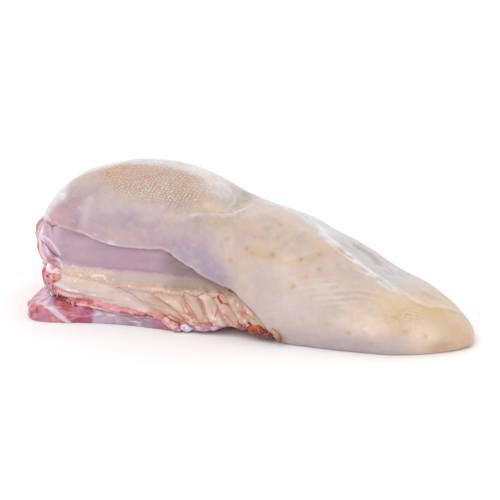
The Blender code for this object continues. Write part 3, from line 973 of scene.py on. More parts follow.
    def paint_blade(self, paint: Paint, grid: Array) -> None:
        """The blade: peach along its top, pinkish white below, tan at the tip; wet beyond, where its
        grey-white is a painted reflection, with painted highlights and shade on its ridges, creases and
        wrinkles.

        Args:
            paint: takes the coats.
            grid: the body's points.
        """
        lay = paint.lay
        x, y, z = np.moveaxis(grid, -1, 0)
        wander = 3 * noise(grid, 11, 51)
        lay((213, 194, 181), within(x, 4, 84, 10) * 0.8)
        for patch in self.blade_patches:
            self.spot(paint, grid, *patch)
        lay((216, 186, 156), stroke(grid, self.tan_line, 0.8, 5) * 0.8)
        # painted shade along the blade's crease, and painted highlight along the ridge beside it
        lay((194, 172, 155), stroke(grid, self.blade_crease, 0.2, 1.8) * 0.35)
        lay((226, 211, 198), stroke(grid, self.blade_highlight, 0.3, 1.8) * 0.4)
        lay((226, 202, 178), ease(74, 98, x + wander) * ease(-2, -8, y - along(self.grey_from, x)) * 0.9)
        lay((222, 196, 166), ease(122, 136, x + wander) * 0.8)
        for patch in self.tip_patches:
            self.spot(paint, grid, *patch)
        # painted reflection: the far strip's grey-white is the pale room seen mirrored at a grazing angle,
        # bluer and brighter nearer the root
        beyond = (
            ease(-3.5, 4.5, y - along(self.grey_from, x) + 0.6 * wander) * ease(-4, 12, x) * ease(126, 98, x)
        )
        beyond *= ease(34, 22, y + wander)
        lay((198, 198, 198), beyond * 0.85, 0.85)
        lay((214, 218, 224), beyond * ease(64, 52, x) * 0.8, 0.95)
        flank = ease(20, 32, y + wander) * ease(0, 20, x)
        lay((209, 191, 184), flank * 0.8, 0.5)
        lay((196, 178, 184), flank * ease(0, 0.6, fractal(grid, 18, 55, 2)) * 0.6)
        lay((188, 172, 180), flank * ease(22, 8, z) * 0.6)
        lay((198, 196, 196), beyond * within(x, 84, 132, 10) * 0.6)
        far_tip = within(x, 106, 140, 8) * within(y, -12, 20, 6) * ease(-4, 3, y - along(self.grey_from, x))
        lay((211, 192, 168), far_tip * 0.85, 0.7)
        lay((206, 172, 138), far_tip * ease(0.1, 0.5, fractal(grid, 7, 59, 2)) * 0.7)
        glint = ease(-0.25, 0.2, fractal(grid, (9, 2.6, 3), 57)) * stroke(grid, self.ridge, 1.2, 3.4)
        glint = np.maximum(
            glint, ease(-0.1, 0.35, fractal(grid, (7, 3, 4), 58)) * stroke(grid, self.ridge, 2.4, 4.5)
        )
        glint *= ease(36, 48, x)
        lay((246, 248, 250), glint * 0.85, 1)
        # painted shade in the shallow dent on the far strip
        lay((172, 160, 168), stroke(grid, self.dent, 1.5, 5) * 0.8)
        # painted highlights along the tip's ridge and the broad crest before it
        lay((240, 228, 214), stroke(grid, self.tip_ridge, 0.3, 2.2) * 0.65 * ease(106, 126, x))
        lay((232, 216, 196), stroke(grid, self.tip_highlight, 1, 5) * 0.6)
        lay((214, 176, 136), stroke(grid + np.array((0, 2.2, 0.9)), self.tip_ridge, 0.5, 2.6) * 0.4)
        foot = ease(-30, -41, y) * ease(8, 24, x) * ease(20, 5, z + 0.4 * wander) * ease(136, 96, x)
        lay((190, 174, 180), foot * 0.8)
        # painted highlight on the wrinkles' ridges and painted shade in their troughs
        wave = self.wrinkles(grid)[1]
        lay((236, 223, 212), ease(0.25, 0.85, wave) * 0.5)
        lay((190, 168, 157), ease(-0.3, -0.9, wave) * 0.35)
        # painted shade along the small folds on the far strip
        for fold in self.far_folds:
            lay((176, 171, 173), stroke(grid, fold, 0.2, 1.3) * 0.6)
        kernel, _ = grains(grid, 1.5, 41)
        away = np.linalg.norm((grid - np.array((112, -31, 24))) / np.array((13, 11, 7)), axis=-1)
        stipple = np.exp(-(away**2)) * ease(0.55, 0.2, kernel)
        lay((190, 150, 100), stipple * 0.5)
        lay((166, 140, 86), stipple * ease(0.2, 0.6, noise(grid, 3, 44)) * 0.5)
        ragged = 1 + 0.45 * noise(grid, 2.2, 49)
        small, wide = self.spot_radii
        for *centre, strength in self.brown_spots:
            away = np.linalg.norm(grid - np.array(centre), axis=-1) * ragged
            lay((212, 178, 142), np.exp(-((away / wide) ** 2)) * 0.5 * strength)
            lay((178, 132, 96), np.exp(-((away / small) ** 2)) * strength)

    @staticmethod
    def paint_clouds(paint: Paint, grid: Array) -> None:
        """Faint lavender, pink and green-grey clouds, and lighter and darker ones.

        Args:
            paint: takes the coats.
            grid: the body's points.
        """
        patchy = ease(130, 90, grid[..., 0])
        for colour, size, seed, share in (
            ((186, 168, 190), 8, 121, 0.22), ((222, 182, 180), 7, 123, 0.20),
            ((198, 194, 178), 9, 127, 0.20), ((214, 190, 160), 12, 129, 0.16),
            ((188, 172, 188), 3.2, 221, 0.24), ((224, 188, 176), 3, 225, 0.24),
            ((222, 202, 168), 3.6, 229, 0.22)
        ):
            paint.lay(colour, ease(0.1, 0.7, fractal(grid, size, seed, 2)) * share * patchy)
        tone = fractal(grid, 16, 31, 3)
        fine = fractal(grid, 2.2, 37, 3)
        grainy = 1 + 1.6 * within(grid[..., 0], -48, 6, 8) * ease(68, 76, grid[..., 2])
        paint.shade(1 + 0.042 * tone + 0.04 * fine * grainy)

    def paint_edge(self, paint: Paint, grid: Array) -> None:
        """The free edge: a pale rim, partly painted highlight, with a mauve painted shade below it, torn a
        little near the root.

        Args:
            paint: takes the coats.
            grid: the body's points.
        """
        lay = paint.lay
        x, y, z = np.moveaxis(grid, -1, 0)
        above = z - along(self.lip_height, x) - self.lip_wander(x)
        edge = ease(-142, -130, x) * ease(36, 26, x) * ease(-24, -32, y)
        ahead = 1 - 0.75 * ease(-26, -6, x)
        # under the overhanging edge: mauve, partly own colour, partly painted shade, with more painted shade
        # further forward
        lay((190, 158, 170), edge * ease(0.4, -0.8, above) * ease(24, 12, x))
        lay((156, 130, 136), edge * ease(-0.6, -3, above) * within(x, -42, -4, 8) * 0.7)
        # pale rim along the edge: partly the thin edge's own paleness, partly painted highlight
        lay((222, 194, 204), edge * hump(above, 0.4, 0.7) * ahead * (0.55 + 0.3 * noise(grid, 4, 61)))
        lay(
            (214, 172, 140),
            edge * hump(above, -0.5, 0.6) * ease(-6, 6, x) * ease(-0.2, 0.5, noise(grid, 5, 67)) * 0.8
        )
        torn = edge * within(x, -104, -78, 3) * within(above, -0.5, 3, 0.8)
        lay((232, 216, 224), torn * ease(0.1, 0.4, noise(grid, (3, 3, 1.5), 63)) * 0.8)
        ochre = edge * within(x, -136, -108, 4) * hump(above, -1, 0.8)
        lay((196, 140, 110), ochre * ease(0, 0.4, noise(grid, 4, 65)) * 0.8)
        far_edge = ease(24, 34, y) * ease(10, -10, x) * ease(62, 54, z)
        lay((196, 168, 178), far_edge * 0.7)

    def build(self, finish: FleshFinish) -> tuple[Array, Array]:
        """Makes the body, which stands for the CAD solid.

        Args:
            finish: the mucosa's finish.

        Returns:
            Its grid of points and their normals.
        """
        x = self.stations()
        angles = self.angles()
        grid = self.rings_of(x, angles)
        grid += normals_of(grid) * self.relief(grid, angles)[..., None]
        grid[..., 2] = np.maximum(grid[..., 2], 0)
        paint = self.paint(grid)
        start = np.array((self.root_x, *self.root_aim))
        end = np.array((self.tip_x - 0.2, *self.tip_aim))
        mesh = closed_mesh("tongue_body", grid, start, end, flip=False)
        carry_paint(mesh, with_poles(paint.colour), with_poles(paint.wet))
        piece = settle("tongue_body", mesh, finish)
        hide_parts("tongue")
        return grid, normals_of(grid)


# ---------------------------------------------------------------- papillae


@dataclass
class Papillae:
    """The field of small soft points on the thick back: round beads above, slanting rows lower down."""

    pitch_along: float = 2.35
    pitch_down: float = 2.1
    slant: float = 0.95
    first_x: float = -172.0
    last_x: float = -8.0
    far_reach: float = 26.0
    near_reach: float = 56.0
    width: float = 0.96
    length: tuple[float, float] = (0.96, 1.3)
    height: float = 0.42
    sides: int = 10
    seed: int = 7
    near_columns: int = 215
    arcs: dict = field(default_factory=dict)
    lowest: Table = table({-114: 92, -102: 91, -88: 88, -71: 84, -55: 82.5, -42: 82, -30: 82, -22: 86})
    front: Table = table({-33: -21, -28: -18.5, -17: -21, -7: -25, 1: -30, 10: -40})

    def places(self, grid: Array) -> tuple[Array, Array, Array]:
        """Rows and columns of the body's grid where the points stand, and how far down the near side.

        Args:
            grid: the body's points.

        Returns:
            Fractional row, fractional column, and distance down from the crest in millimetres.
        """
        rng = np.random.default_rng(self.seed)
        x_of_row = grid[:, 0, 0]
        rows, columns, downs = [], [], []
        steps = int((self.last_x - self.first_x) / self.pitch_along)
        for i in range(steps):
            x = self.first_x + i * self.pitch_along
            count = int((self.far_reach + self.near_reach) / self.pitch_down)
            down = -self.far_reach + np.arange(count) * self.pitch_down
            down += rng.uniform(-0.36, 0.36, count)
            place = x + down * self.slant + rng.uniform(-0.36, 0.36, count)
            row = np.interp(place, x_of_row, np.arange(len(x_of_row)))
            nearest = np.clip(np.round(row).astype(int), 0, len(grid) - 1)
            # the arc from the crest, by the ring's own running length
            for r, k, d in zip(row, nearest, down):
                ring = self._arc(grid, k)
                column = np.interp(d, ring[0], ring[1])
                rows.append(r)
                columns.append(column)
                downs.append(d)
        return np.array(rows), np.array(columns), np.array(downs)

    def _arc(self, grid: Array, row: int) -> tuple[Array, Array]:
        """Running length from the crest along a ring, with the column numbers it belongs to.

        Args:
            grid: the body's points.
            row: the ring's number.

        Returns:
            The lengths, and the numbers.
        """
        known = self.arcs
        if row not in known:
            ring = grid[row, :self.near_columns]
            length = np.concatenate([[0], np.cumsum(np.linalg.norm(np.diff(ring, axis=0), axis=1))])
            crest = int(np.argmax(ring[:, 2]))
            known[row] = (length - length[crest], np.arange(len(length)))
        return known[row]

    def build(self, grid: Array, normals: Array, finish: FleshFinish) -> None:
        """Makes all the points as one mesh of small leaning domes.

        Args:
            grid: the body's points.
            normals: the body's normals.
            finish: the finish.
        """
        rows, columns, down = self.places(grid)
        at = self._sample(grid, rows, columns)
        up = self._sample(normals, rows, columns)
        up /= np.linalg.norm(up, axis=-1, keepdims=True)
        strength = self.strength(at)
        rng = np.random.default_rng(self.seed + 1)
        keep = strength > rng.uniform(0.02, 0.6, len(strength))
        at, up, down, strength = at[keep], up[keep], down[keep], strength[keep]
        count = len(at)
        lean = np.array((0.8, -0.75, -0.6)) + rng.uniform(-0.1, 0.1, (count, 3))
        lean -= up * (lean * up).sum(-1, keepdims=True)
        lean /= np.linalg.norm(lean, axis=-1, keepdims=True)
        across = np.cross(up, lean)
        size = (0.7 + 0.4 * rng.random(count)) * (0.36 + 0.64 * strength)
        length = self.length[0] + (self.length[1] - self.length[0]) * ease(-5, 30, down)
        turn = np.linspace(0, 2 * math.pi, self.sides, endpoint=False)
        levels = ((1, -0.3, 0), (0.84, 0.5, 0.08), (0.5, 0.86, 0.18))  # width, height, lean
        points = []
        for wide, high, forward in levels:
            along_lean = (np.cos(turn)[None] * wide * (length * size)[:, None])[..., None] * lean[:, None]
            sideways = (
                (np.sin(turn)[None] * wide * (self.width * size)[:, None])[..., None] * across[:, None]
            )
            raised = (
                up * (self.height * size * high)[:, None] + lean * (forward * length * size)[:, None]
            )[:, None]
            points.append(at[:, None] + along_lean + sideways + raised)
        top = at + up * (self.height * size)[:, None] + lean * (0.22 * length * size)[:, None]
        vertices = np.concatenate([np.stack(points, 1).reshape(count, -1, 3), top[:, None]], axis=1)
        per_dome = vertices.shape[1]
        first = (np.arange(count) * per_dome)[:, None, None]
        quads = (grid_faces(3, self.sides)[None] + first).reshape(-1, 4)
        last = np.arange(self.sides) + 2 * self.sides
        fans = (fan_faces(last, per_dome - 1)[None] + first).reshape(-1, 3)
        base = np.stack([np.arange(self.sides)[::-1]] * count) + first[:, 0]
        floor_fan = self.base_fans(base)
        mesh = raw_mesh("papillae", vertices.reshape(-1, 3) * MM, quads, np.concatenate([fans, floor_fan]))
        colour = self.tints(at, rng)
        colours = np.repeat(colour[:, None], per_dome, axis=1)
        # painted shade: each dome darker at its base and a little darker at its middle ring, so its top
        # reads as lit
        colours[:, : self.sides] *= 0.78
        colours[:, self.sides : 2 * self.sides] *= 0.94
        wet = np.full((count, per_dome), 0.75)
        carry_paint(mesh, colours, wet)
        settle("papillae", mesh, finish)

    @staticmethod
    def base_fans(ring: Array) -> Array:
        """Triangles that close each dome's base, as a fan from its first corner."""
        count = ring.shape[1]
        return np.concatenate([ring[:, (0, i, i + 1)] for i in range(1, count - 1)])

    @staticmethod
    def _sample(grid: Array, rows: Array, columns: Array) -> Array:
        """The grid's values between its points, by the four nearest.

        Args:
            grid: values at whole rows and columns.
            rows: fractional rows.
            columns: fractional columns.

        Returns:
            The values there.
        """
        i = np.clip(np.floor(rows).astype(int), 0, len(grid) - 2)
        j = np.floor(columns).astype(int)
        s = (rows - i)[:, None]
        t = (columns - j)[:, None]
        k = (j + 1) % grid.shape[1]
        left = grid[i, j] * (1 - s) + grid[i + 1, j] * s
        right = grid[i, k] * (1 - s) + grid[i + 1, k] * s
        return left * (1 - t) + right * t

    def strength(self, at: Array) -> Array:
        """How strongly the points stand, from 0 outside the field to 1 inside it.

        Args:
            at: places on the body.

        Returns:
            The strength at each.
        """
        x, y, z = at.T
        ragged = 3.5 * fractal(at, 12, 53, 2)
        inside = ease(-4, 6, z - along(self.lowest, x) + ragged)
        inside *= ease(9, -16, x - along(self.front, y) + ragged)
        return inside * ease(-117, -98, x + ragged) * ease(0, -10, y + 0.6 * ragged)

    @staticmethod
    def tints(at: Array, rng: np.random.Generator) -> Array:
        """Each point's colour: pale pinkish cream, orange in the stained part.

        Args:
            at: the points' places.
            rng: draws the few odd ones.

        Returns:
            Their linear colours.
        """
        paint = Paint((len(at),), (218, 196, 182))
        stain = bell(at, (-90, -14, 96), (19, 10, 8))
        paint.lay((222, 160, 104), stain * ease(-0.6, 0.3, noise(at, 5, 131)) * 0.9)
        front = bell(at, (-42, -14, 94), (16, 14, 8))
        paint.lay((228, 192, 158), front * ease(-0.3, 0.5, noise(at, 6, 133)) * 0.7)
        paint.lay((222, 178, 138), ease(0.2, 0.6, noise(at, 4, 135)) * 0.4)
        paint.lay((228, 208, 198), ease(0.5, 1, rng.random(len(at))) * 0.6)
        paint.lay((206, 200, 186), ease(0.82, 1, rng.random(len(at))) * 0.5)
        paint.lay((216, 150, 120), ease(0.93, 1, rng.random(len(at))) * 0.5)
        return paint.colour


# ---------------------------------------------------------------- the flesh under the mucosa's edge


@dataclass
class RootFlesh:
    """Bare flesh below the edge: purple band, fat, smooth roll, pleats, lobes and the cut root face.

    The near wall is a height field over X and Z: each fold is a half ellipse across a smooth path, and
    the largest of them shows. The wall turns round the root end on a superellipse to the far side.
    """

    front_x: float = 34.3
    turn_x: float = -124.0
    turn_power: float = 2.1
    base_root_x: float = -147.6
    base_turn_x: float = -130.0
    base_turn_power: float = 2.9
    columns: tuple[int, int, int] = (352, 170, 130)
    rows: int = 138
    top: Table = table({
        -150: 62, -124: 62.5, -105: 71, -75: 67, -39: 65, -20: 55, 0: 46, 10: 38, 20: 29, 34: 15})
    end_x: Table = table({
        0: -145, 14: -144, 22: -142, 30: -142, 38: -147, 46: -151.5, 53: -151.5, 58: -147.5, 61: -139,
        63: -126})
    reach: Table = table({
        -150: 37, -136: 38, -120: 39.8, -100: 42.6, -54: 44.8, -35: 44.4, -15: 43, 10: 41, 22: 40, 34: 36})
    middle: Table = table({-150: 30, -120: 28, 0: 14, 34: 6})
    base_top: Table = table({-150: 8, -142: 14, -132: 17, -120: 18, -90: 15, -60: 11, -30: 8, -2: 6})
    base_near: Table = table({-152: 52, -140: 56.5, -122: 56, -90: 47, -60: 44, -36: 44, -19: 39.5, -2: 30})
    base_far: Table = table({-152: 51, -140: 55.5, -122: 55, -60: 45, -19: 40, -2: 28})
    band: tuple = (
        (-127, 37, 33, 6.5, 6.5), (-84, 37.5, 33, 7.6, 7.6), (-56, 37.5, 27, 7.8, 13),
        (-38, 36, 24.5, 7.6, 14.5), (-22, 35.5, 22, 7, 13), (-6, 34, 19, 5, 8),
    )
    roll: tuple = (
        (-129, 38, 24.5, 7.5, 8.5), (-95, 38.5, 21, 8, 9.8), (-70, 38, 15.5, 8, 8),
        (-42, 36.5, 10, 8, 5.6), (-20, 35.5, 7.5, 6.5, 4), (2, 33, 5, 4, 2.6),
    )
    pleated: tuple = (
        (-54, 34, 17, 4, 12), (-30, 36.5, 17, 5, 13.5), (-4, 37, 17.5, 4.8, 14), (12, 37.5, 15, 4.6, 12),
        (22, 38, 10.5, 4.4, 8), (30, 37.5, 6.5, 3.6, 5),
    )
    salmon: tuple = (
        (-123, 44, 18.5, 2.5, 2.6), (-111, 44.5, 16.3, 3, 2.4), (-100, 44, 14.3, 3, 2.2),
        (-69, 42.5, 11.2, 3, 1.8), (-46, 40.5, 8, 2.5, 1.4),
    )
    pink: tuple = (
        (-112, 46.5, 13.5, 3, 1.8), (-100, 46, 12.3, 3, 1.6), (-80, 44.5, 10, 3, 1.5),
        (-60, 43.5, 8.2, 2.5, 1.4)
    )
    pleats: tuple = (
        (((-64, 24), (-46, 18.5), (-30, 9)), 5.2, 1.5), (((-47, 26.5), (-34, 19), (-23.5, 8)), 5.6, 2.1),
        (((-27, 27), (-23, 18), (-16.5, 8)), 4.6, 1.5), (((-17, 26.5), (-12, 17), (-6, 8)), 5, 2.3),
        (((-7, 25.5), (-2.4, 17), (3.5, 9.5)), 4.4, 1.7), (((2, 26), (8, 17.5), (13.5, 8.5)), 4.6, 2.2),
        (((1, 33), (9, 25), (15, 16)), 3.4, 1.9), (((9.5, 27), (16, 19), (22, 10)), 3, 1.5),
        (((7, 19), (14, 14.5), (19, 9)), 3, 2.1), (((17, 20.5), (23, 14.5), (30, 7.5)), 2.6, 2.1),
        (((-70, 27.4), (-54.6, 28), (-44, 27.4), (-32, 27.4)), 2.6, 1.9),
        (((-29, 30), (-24, 28), (-18, 29.4)), 2.2, 1.9), (((-19, 31), (-13, 28.5), (-8, 29.4)), 2, 1.7),
        (((-40, 10.5), (-28, 8), (-14, 6.4)), 2.6, 1.4), (((-33, 24), (-28.5, 16), (-25, 12.5)), 2.2, 2.2),
        (((-12, 24), (-9.4, 20), (-9, 15)), 1.8, 2.5), (((-3, 15.5), (1, 11), (5, 8)), 1.7, 2.4)
    )
    crease: tuple = (
        (-78, 26.5), (-72, 24.2), (-66.7, 22.6), (-60.7, 20.1), (-54, 17.4), (-47, 16.7), (-36, 15),
        (-25, 12.6)
    )
    pearls: tuple = ((-79, 27), (-67, 29), (-53, 28.8), (-31, 28.4))
    lobes: tuple = ((-137, 28, 2, 9.5), (-131.5, 38.5, 2, 10.5), (-123, 43, 2, 11.5))
    red_line: tuple = ((-123, 15.8), (-112, 14.9), (-105, 13.9), (-90.8, 11.6), (-71.7, 9.4), (-53.6, 7.6))
    stripe: tuple = ((-139, 12), (-130, 12), (-121, 9.2), (-115.7, 3.8), (-111, -0.5))
    stripe_two: tuple = ((-129.5, 19), (-126.5, 13), (-119.5, 9.8), (-114.5, 4.8), (-109, -0.6))
    bead_gap: float = 3.4
    far_top: float = 63
    core_side: float = 43
    middle_x: float = -60
    middle_top: float = 50
    # lines on the near root corner, across a vertical plane turned 18 degrees from X
    strands: tuple = (
        (((-139.5, 58), (-141.3, 51.3), (-141.8, 44.5), (-139, 40.4), (-135.6, 36.9)), 1.5, 1.4),
        (((-138, 54.5), (-134, 52.7), (-130.1, 48.2), (-126.7, 43.5)), 0.9, 0.6),
        (((-139.2, 54), (-137.4, 48), (-134.6, 43), (-132, 39)), 0.8, 0.7),
        (((-135.7, 36), (-133, 38.8), (-129.4, 40.2), (-126.8, 38.4), (-125.6, 35.7)), 0.9, 0.9),
        (((-131.5, 22.6), (-128.4, 24.2), (-124.3, 22.6), (-121, 20.8), (-113, 20.4)), 1.1, 1.1),
    )
    slit: tuple = ((-139.4, 50.5), (-135.4, 47.5), (-131.6, 43.4), (-128.9, 41.1))
    orange_edge: tuple = ((-143.4, 46.5), (-143, 42), (-140.6, 38.7))

    def outline(self) -> tuple[Array, Array, Array]:
        """The wall's walk from the near front round the root to the far front.

        Returns:
            For each column its X before the turn, its side factor from -1 near to 1 far, and how far
            it is into the turn, from 0 on a straight side to 1 at the root.
        """
        near, turn, far = self.columns
        x_near = np.linspace(self.front_x, self.turn_x, near, endpoint=False)
        angle = np.linspace(0, math.pi, turn, endpoint=False)
        x_far = np.linspace(self.turn_x, self.front_x, far)
        x = np.concatenate([x_near, np.full(turn, self.turn_x), x_far])
        side = np.concatenate([-np.ones(near), -rounded(np.cos(angle), self.turn_power), np.ones(far)])
        depth = np.concatenate([np.zeros(near), np.abs(np.sin(angle)), np.zeros(far)])
        return x, side, depth

    @staticmethod
    def fold(stations: tuple, x: Array, z: Array) -> Array:
        """How far out a fold reaches at each X and height: its side plus half an ellipse.

        Args:
            stations: X, side, height, and half the width across and up, for each of its places.
            x: where to read it.
            z: at which height.

        Returns:
            Millimetres out from the middle, well inside the flesh past the fold.
        """
        keys = [s[0] for s in stations]
        side, height, across, up = (
            along(dict(zip(keys, [s[i] for s in stations])), x) for i in range(1, 5)
        )
        first, last = keys[0], keys[-1]
        end = np.clip((first - x) / across, 0, 1) + np.clip((x - last) / across, 0, 1)
        inside = 1 - ((z - height) / up) ** 2 - end**2
        beyond = (x < first - across) | (x > last + across)
        return np.where((inside > 0) & ~beyond, side + across * np.sqrt(np.maximum(inside, 0)), side - 6)

    @staticmethod
    def ball(points: Array, normal: Array, centre: Array, radius: float) -> Array:
        """How far along its normal each point goes to reach a ball's outer surface; -9 if it misses.

        Args:
            points: the flesh's points.
            normal: which way they move.
            centre: the ball's centre.
            radius: its radius.

        Returns:
            Millimetres along the normal.
        """
        to_centre = centre - points
        ahead = (to_centre * normal).sum(-1)
        aside = (to_centre**2).sum(-1) - ahead**2
        return np.where(aside < radius**2, ahead + np.sqrt(np.maximum(radius**2 - aside, 0)), -9.0)

    def wall(self) -> tuple[Array, Array, Array, Array]:
        """The wall's points, their outward horizontal directions, side factor and turn.

        The core's section is a superellipse of the height; the base flares from it below. The root end
        is drawn in towards its top as the cut face is domed.

        Returns:
            Those four; the points and directions have one row for each height.
        """
        x0, side, depth = self.outline()
        share = np.linspace(0, 0.985, self.rows)[:, None]
        top = along(self.top, x0)
        top = np.where(side > 0, np.minimum(top, self.far_top), top)[None]
        z = share * top
        middle = along(self.middle, x0)[None]
        upward = np.clip((z - middle) / (top - middle), 0, 1)
        downward = np.clip((middle - z) / (middle + 4), 0, 1)
        power = along({-124: 3, -106: 6}, x0)[None]
        high = (1 - upward**power) ** (1 / power) * (1 - downward**4) ** (1 / 4)
        ahead = np.clip((x0 - 12) / (34.5 - 12), 0, 1)
        lifted = 1 - 0.58 * within(x0, -10, 36, 4)[None] * ease(8, 3, z)
        reach = along(self.reach, x0)[None] * (1 - ahead**3)[None] ** (1 / 3) * high * lifted
        x = x0[None] - (self.turn_x - along(self.end_x, z)) * rounded(depth, self.turn_power)[None]
        core = np.stack([x, side[None] * reach, z], axis=-1)
        # below its top the base flares past the core, by a superellipse of the height
        flare = np.where(side < 0, along(self.base_near, x0), along(self.base_far, x0))
        back_x = np.clip((x0 + 18) / 15.5, 0, 1)
        flare = flare * np.sqrt(np.clip(1 - back_x**2.2, 0, 1))
        shift = -6 * ease(-95, -124, x0)
        base_x = x0 + shift - (self.base_turn_x - self.base_root_x) * rounded(depth, self.base_turn_power)
        angle_side = np.sign(side) * np.clip(1 - depth**2, 0, 1) ** (1 / self.base_turn_power)
        base_y = np.where(depth > 0, angle_side, side) * flare
        base_high = along(self.base_top, np.broadcast_to(base_x, x.shape))
        rise = np.clip((z / base_high - 0.4) / 0.6, 0, 1)
        spread = (1 - rise**2.6) ** (1 / 2.6)
        reach_out = np.hypot(flare, 1e-3)[None]
        past = np.maximum(reach_out - self.core_side, 1)
        gain = np.clip((reach_out * spread - self.core_side) / past, 0, 1)
        gain = np.where(reach_out > self.core_side + 0.5, gain, 0.0)
        base = np.stack(np.broadcast_arrays(base_x[None], base_y[None], z), axis=-1)
        points = core + (base - core) * gain[..., None]
        # outward: square to the wall's walk at half its height, and away from the middle
        level = points[int(self.rows * 0.5)]
        run = np.roll(level, -1, axis=0) - np.roll(level, 1, axis=0)
        outward = np.stack([run[:, 1], -run[:, 0], np.zeros(len(run))], axis=-1)
        outward /= np.linalg.norm(outward, axis=-1, keepdims=True)
        middle_low = np.array((self.middle_x, 0, 0))
        outward *= np.sign((outward * (level - middle_low)).sum(-1, keepdims=True))
        return points, np.broadcast_to(outward[None], points.shape), side, depth

    @staticmethod
    def plane_of(points: Array) -> Array:
        """Each point's X and height, pushed about by noise so that no border runs straight."""
        warp_x = 1.2 * noise(points, 8, 141) + 0.5 * noise(points, 3.2, 142)
        warp_z = 0.7 * noise(points, 7, 143) + 0.4 * noise(points, 2.8, 144)
        return np.stack([points[..., 0] + warp_x, points[..., 2] + warp_z], axis=-1)

    @staticmethod
    def corner_of(points: Array) -> tuple[Array, Array]:
        """Each point on a vertical plane turned 18 degrees from X, and how much it is on the near corner."""
        x, y, z = np.moveaxis(points, -1, 0)
        across = 0.951 * x + 0.309 * y + 0.4 * noise(points, 5, 145)
        return np.stack([across, z], axis=-1), ease(-8, -20, y)

    @staticmethod
    def bundles_of(points: Array) -> Array:
        """How deep inside a muscle bundle each point of the cut face is, 0 at a seam: warped grains."""
        warp = np.stack([noise(points, 14, 151 + i) for i in range(3)], axis=-1)
        _, seam = grains(points * np.array((0.5, 1, 1)) + 5 * warp, 17, 157)
        return seam

    @staticmethod
    def fibres(points: Array) -> Array:
        """Noise drawn out along the pleats, which run down and forward."""
        x, y, z = np.moveaxis(points, -1, 0)
        turned = np.stack([0.86 * x + 0.51 * z, 0.86 * z - 0.51 * x, y], axis=-1)  # by 31 degrees
        return fractal(turned, (2.2, 11, 9), 161, 3)

    @staticmethod
    def granules(points: Array, plane: Array) -> tuple[Array, Array]:
        """Distance to the middle of the nearest grain of fat, and how much of it is granular."""
        kernel, _ = grains(points * np.array((1, 1, 1.3)), 2.5, 61)
        return kernel, within(plane[..., 0], -111, -79, 3) * within(plane[..., 1], 27, 36, 2)

    def beads(self, points: Array, across: Array) -> Array:
        """A wave from 0 to 1 along X, one crest for each bead of the beaded line."""
        return 0.5 + 0.5 * np.sin(across * 2 * math.pi / self.bead_gap + 3 * noise(points, 5, 149))

    def pleat_heights(self, plane: Array) -> tuple[Array, Array]:
        """The highest and the second highest pleat at each point: each is a half ellipse along its line.

        Args:
            plane: each point's X and height, pushed about by noise.

        Returns:
            Both heights in millimetres, 0 off every pleat.
        """
        heights = np.stack([height * ridge(plane, line, half) for line, half, height in self.pleats])
        heights.sort(axis=0)
        return heights[-1], heights[-2]

    def relief(self, points: Array, outward: Array, depth: Array) -> Array:
        """How far each point moves outwards: folds, balls, lines and grain.

        Args:
            points: the flesh's points.
            outward: which way each moves.
            depth: each column's turn.

        Returns:
            Millimetres for each point.
        """
        x, y, z = np.moveaxis(points, -1, 0)
        mirror = np.stack([x, -np.abs(y), z], axis=-1)
        plane = self.plane_of(points)
        across, up = np.moveaxis(plane, -1, 0)
        facing = np.abs(outward[..., 1])
        own = np.abs(y)
        out = np.zeros(x.shape)
        for stations, blend in (
            (self.band, 0.9), (self.roll, 0.9), (self.pleated, 0.9), (self.salmon, 0.4), (self.pink, 0.4),
        ):
            lift = (self.fold(stations, across, up) - own) * facing * ease(0.7, 0.1, depth)[None]
            out = smooth_max(out, np.where(facing > 0.25, lift, -6.0), blend)
        mirror_out = np.stack([outward[..., 0], -np.abs(outward[..., 1]), outward[..., 2]], axis=-1)
        for cx, cy, cz, radius in self.lobes:
            lift = self.ball(mirror, mirror_out, np.array((cx, -cy, cz)), radius)
            out = smooth_max(out, lift, 0.8)
        out *= 1 - within(x, -10, 36, 4) * ease(8, 4, z + 0.8 * noise(points, 6, 147))
        highest, second = self.pleat_heights(plane)
        zone = within(x, -70, 30, 3) * within(z, 3.5, 32, 1.5)
        out += zone * facing * (1.25 * smooth_max(highest, second, 0.15) + self.fibres(points) * 0.45)
        for line, depth_of, half in (
            (self.crease, 0.8, 0.8), (self.red_line, 1.2, 0.7), (self.stripe, -0.45, 1.5),
            (self.stripe_two, -0.35, 1.2)
        ):
            out -= depth_of * facing * trace(plane, line, half)
        away = gap(plane, self.pearls)
        bead = self.beads(points, across)
        out += facing * np.exp(-((away / 1.3) ** 2)) * (0.2 + 0.6 * bead)
        # granular fat above, ripples on the roll, fibres on the lean
        kernel, granular = self.granules(points, plane)
        out += 1 * facing * granular * ease(0.85, 0.1, kernel) * (0.6 + 0.4 * noise(points, 6, 62))
        fat = within(x, -122, 0, 8) * within(z, 8, 38, 3)
        out += 0.28 * fat * fractal(points, (11, 11, 4), 67, 3)
        out += 0.25 * ease(37, 41, z) * noise(points, (18, 18, 3.6), 71)
        low = ease(16, 10, z)
        out += 0.7 * low * fractal(points, (8, 8, 4), 73, 3)
        out += 0.35 * low * fractal(points, (2.4, 2.4, 1.6), 75, 2)
        corner, here = self.corner_of(points)
        for line, half, height in self.strands:
            out += here * height * ridge(corner, line, half)
        out -= 1.5 * here * trace(corner, self.slit, 1.1)
        cut = ease(0.35, 0.8, depth)[None]
        seam = self.bundles_of(points)
        out += cut * (1.6 * ease(0, 0.35, seam) - 0.8 + 0.5 * fractal(points, 5, 83, 3))
        return out

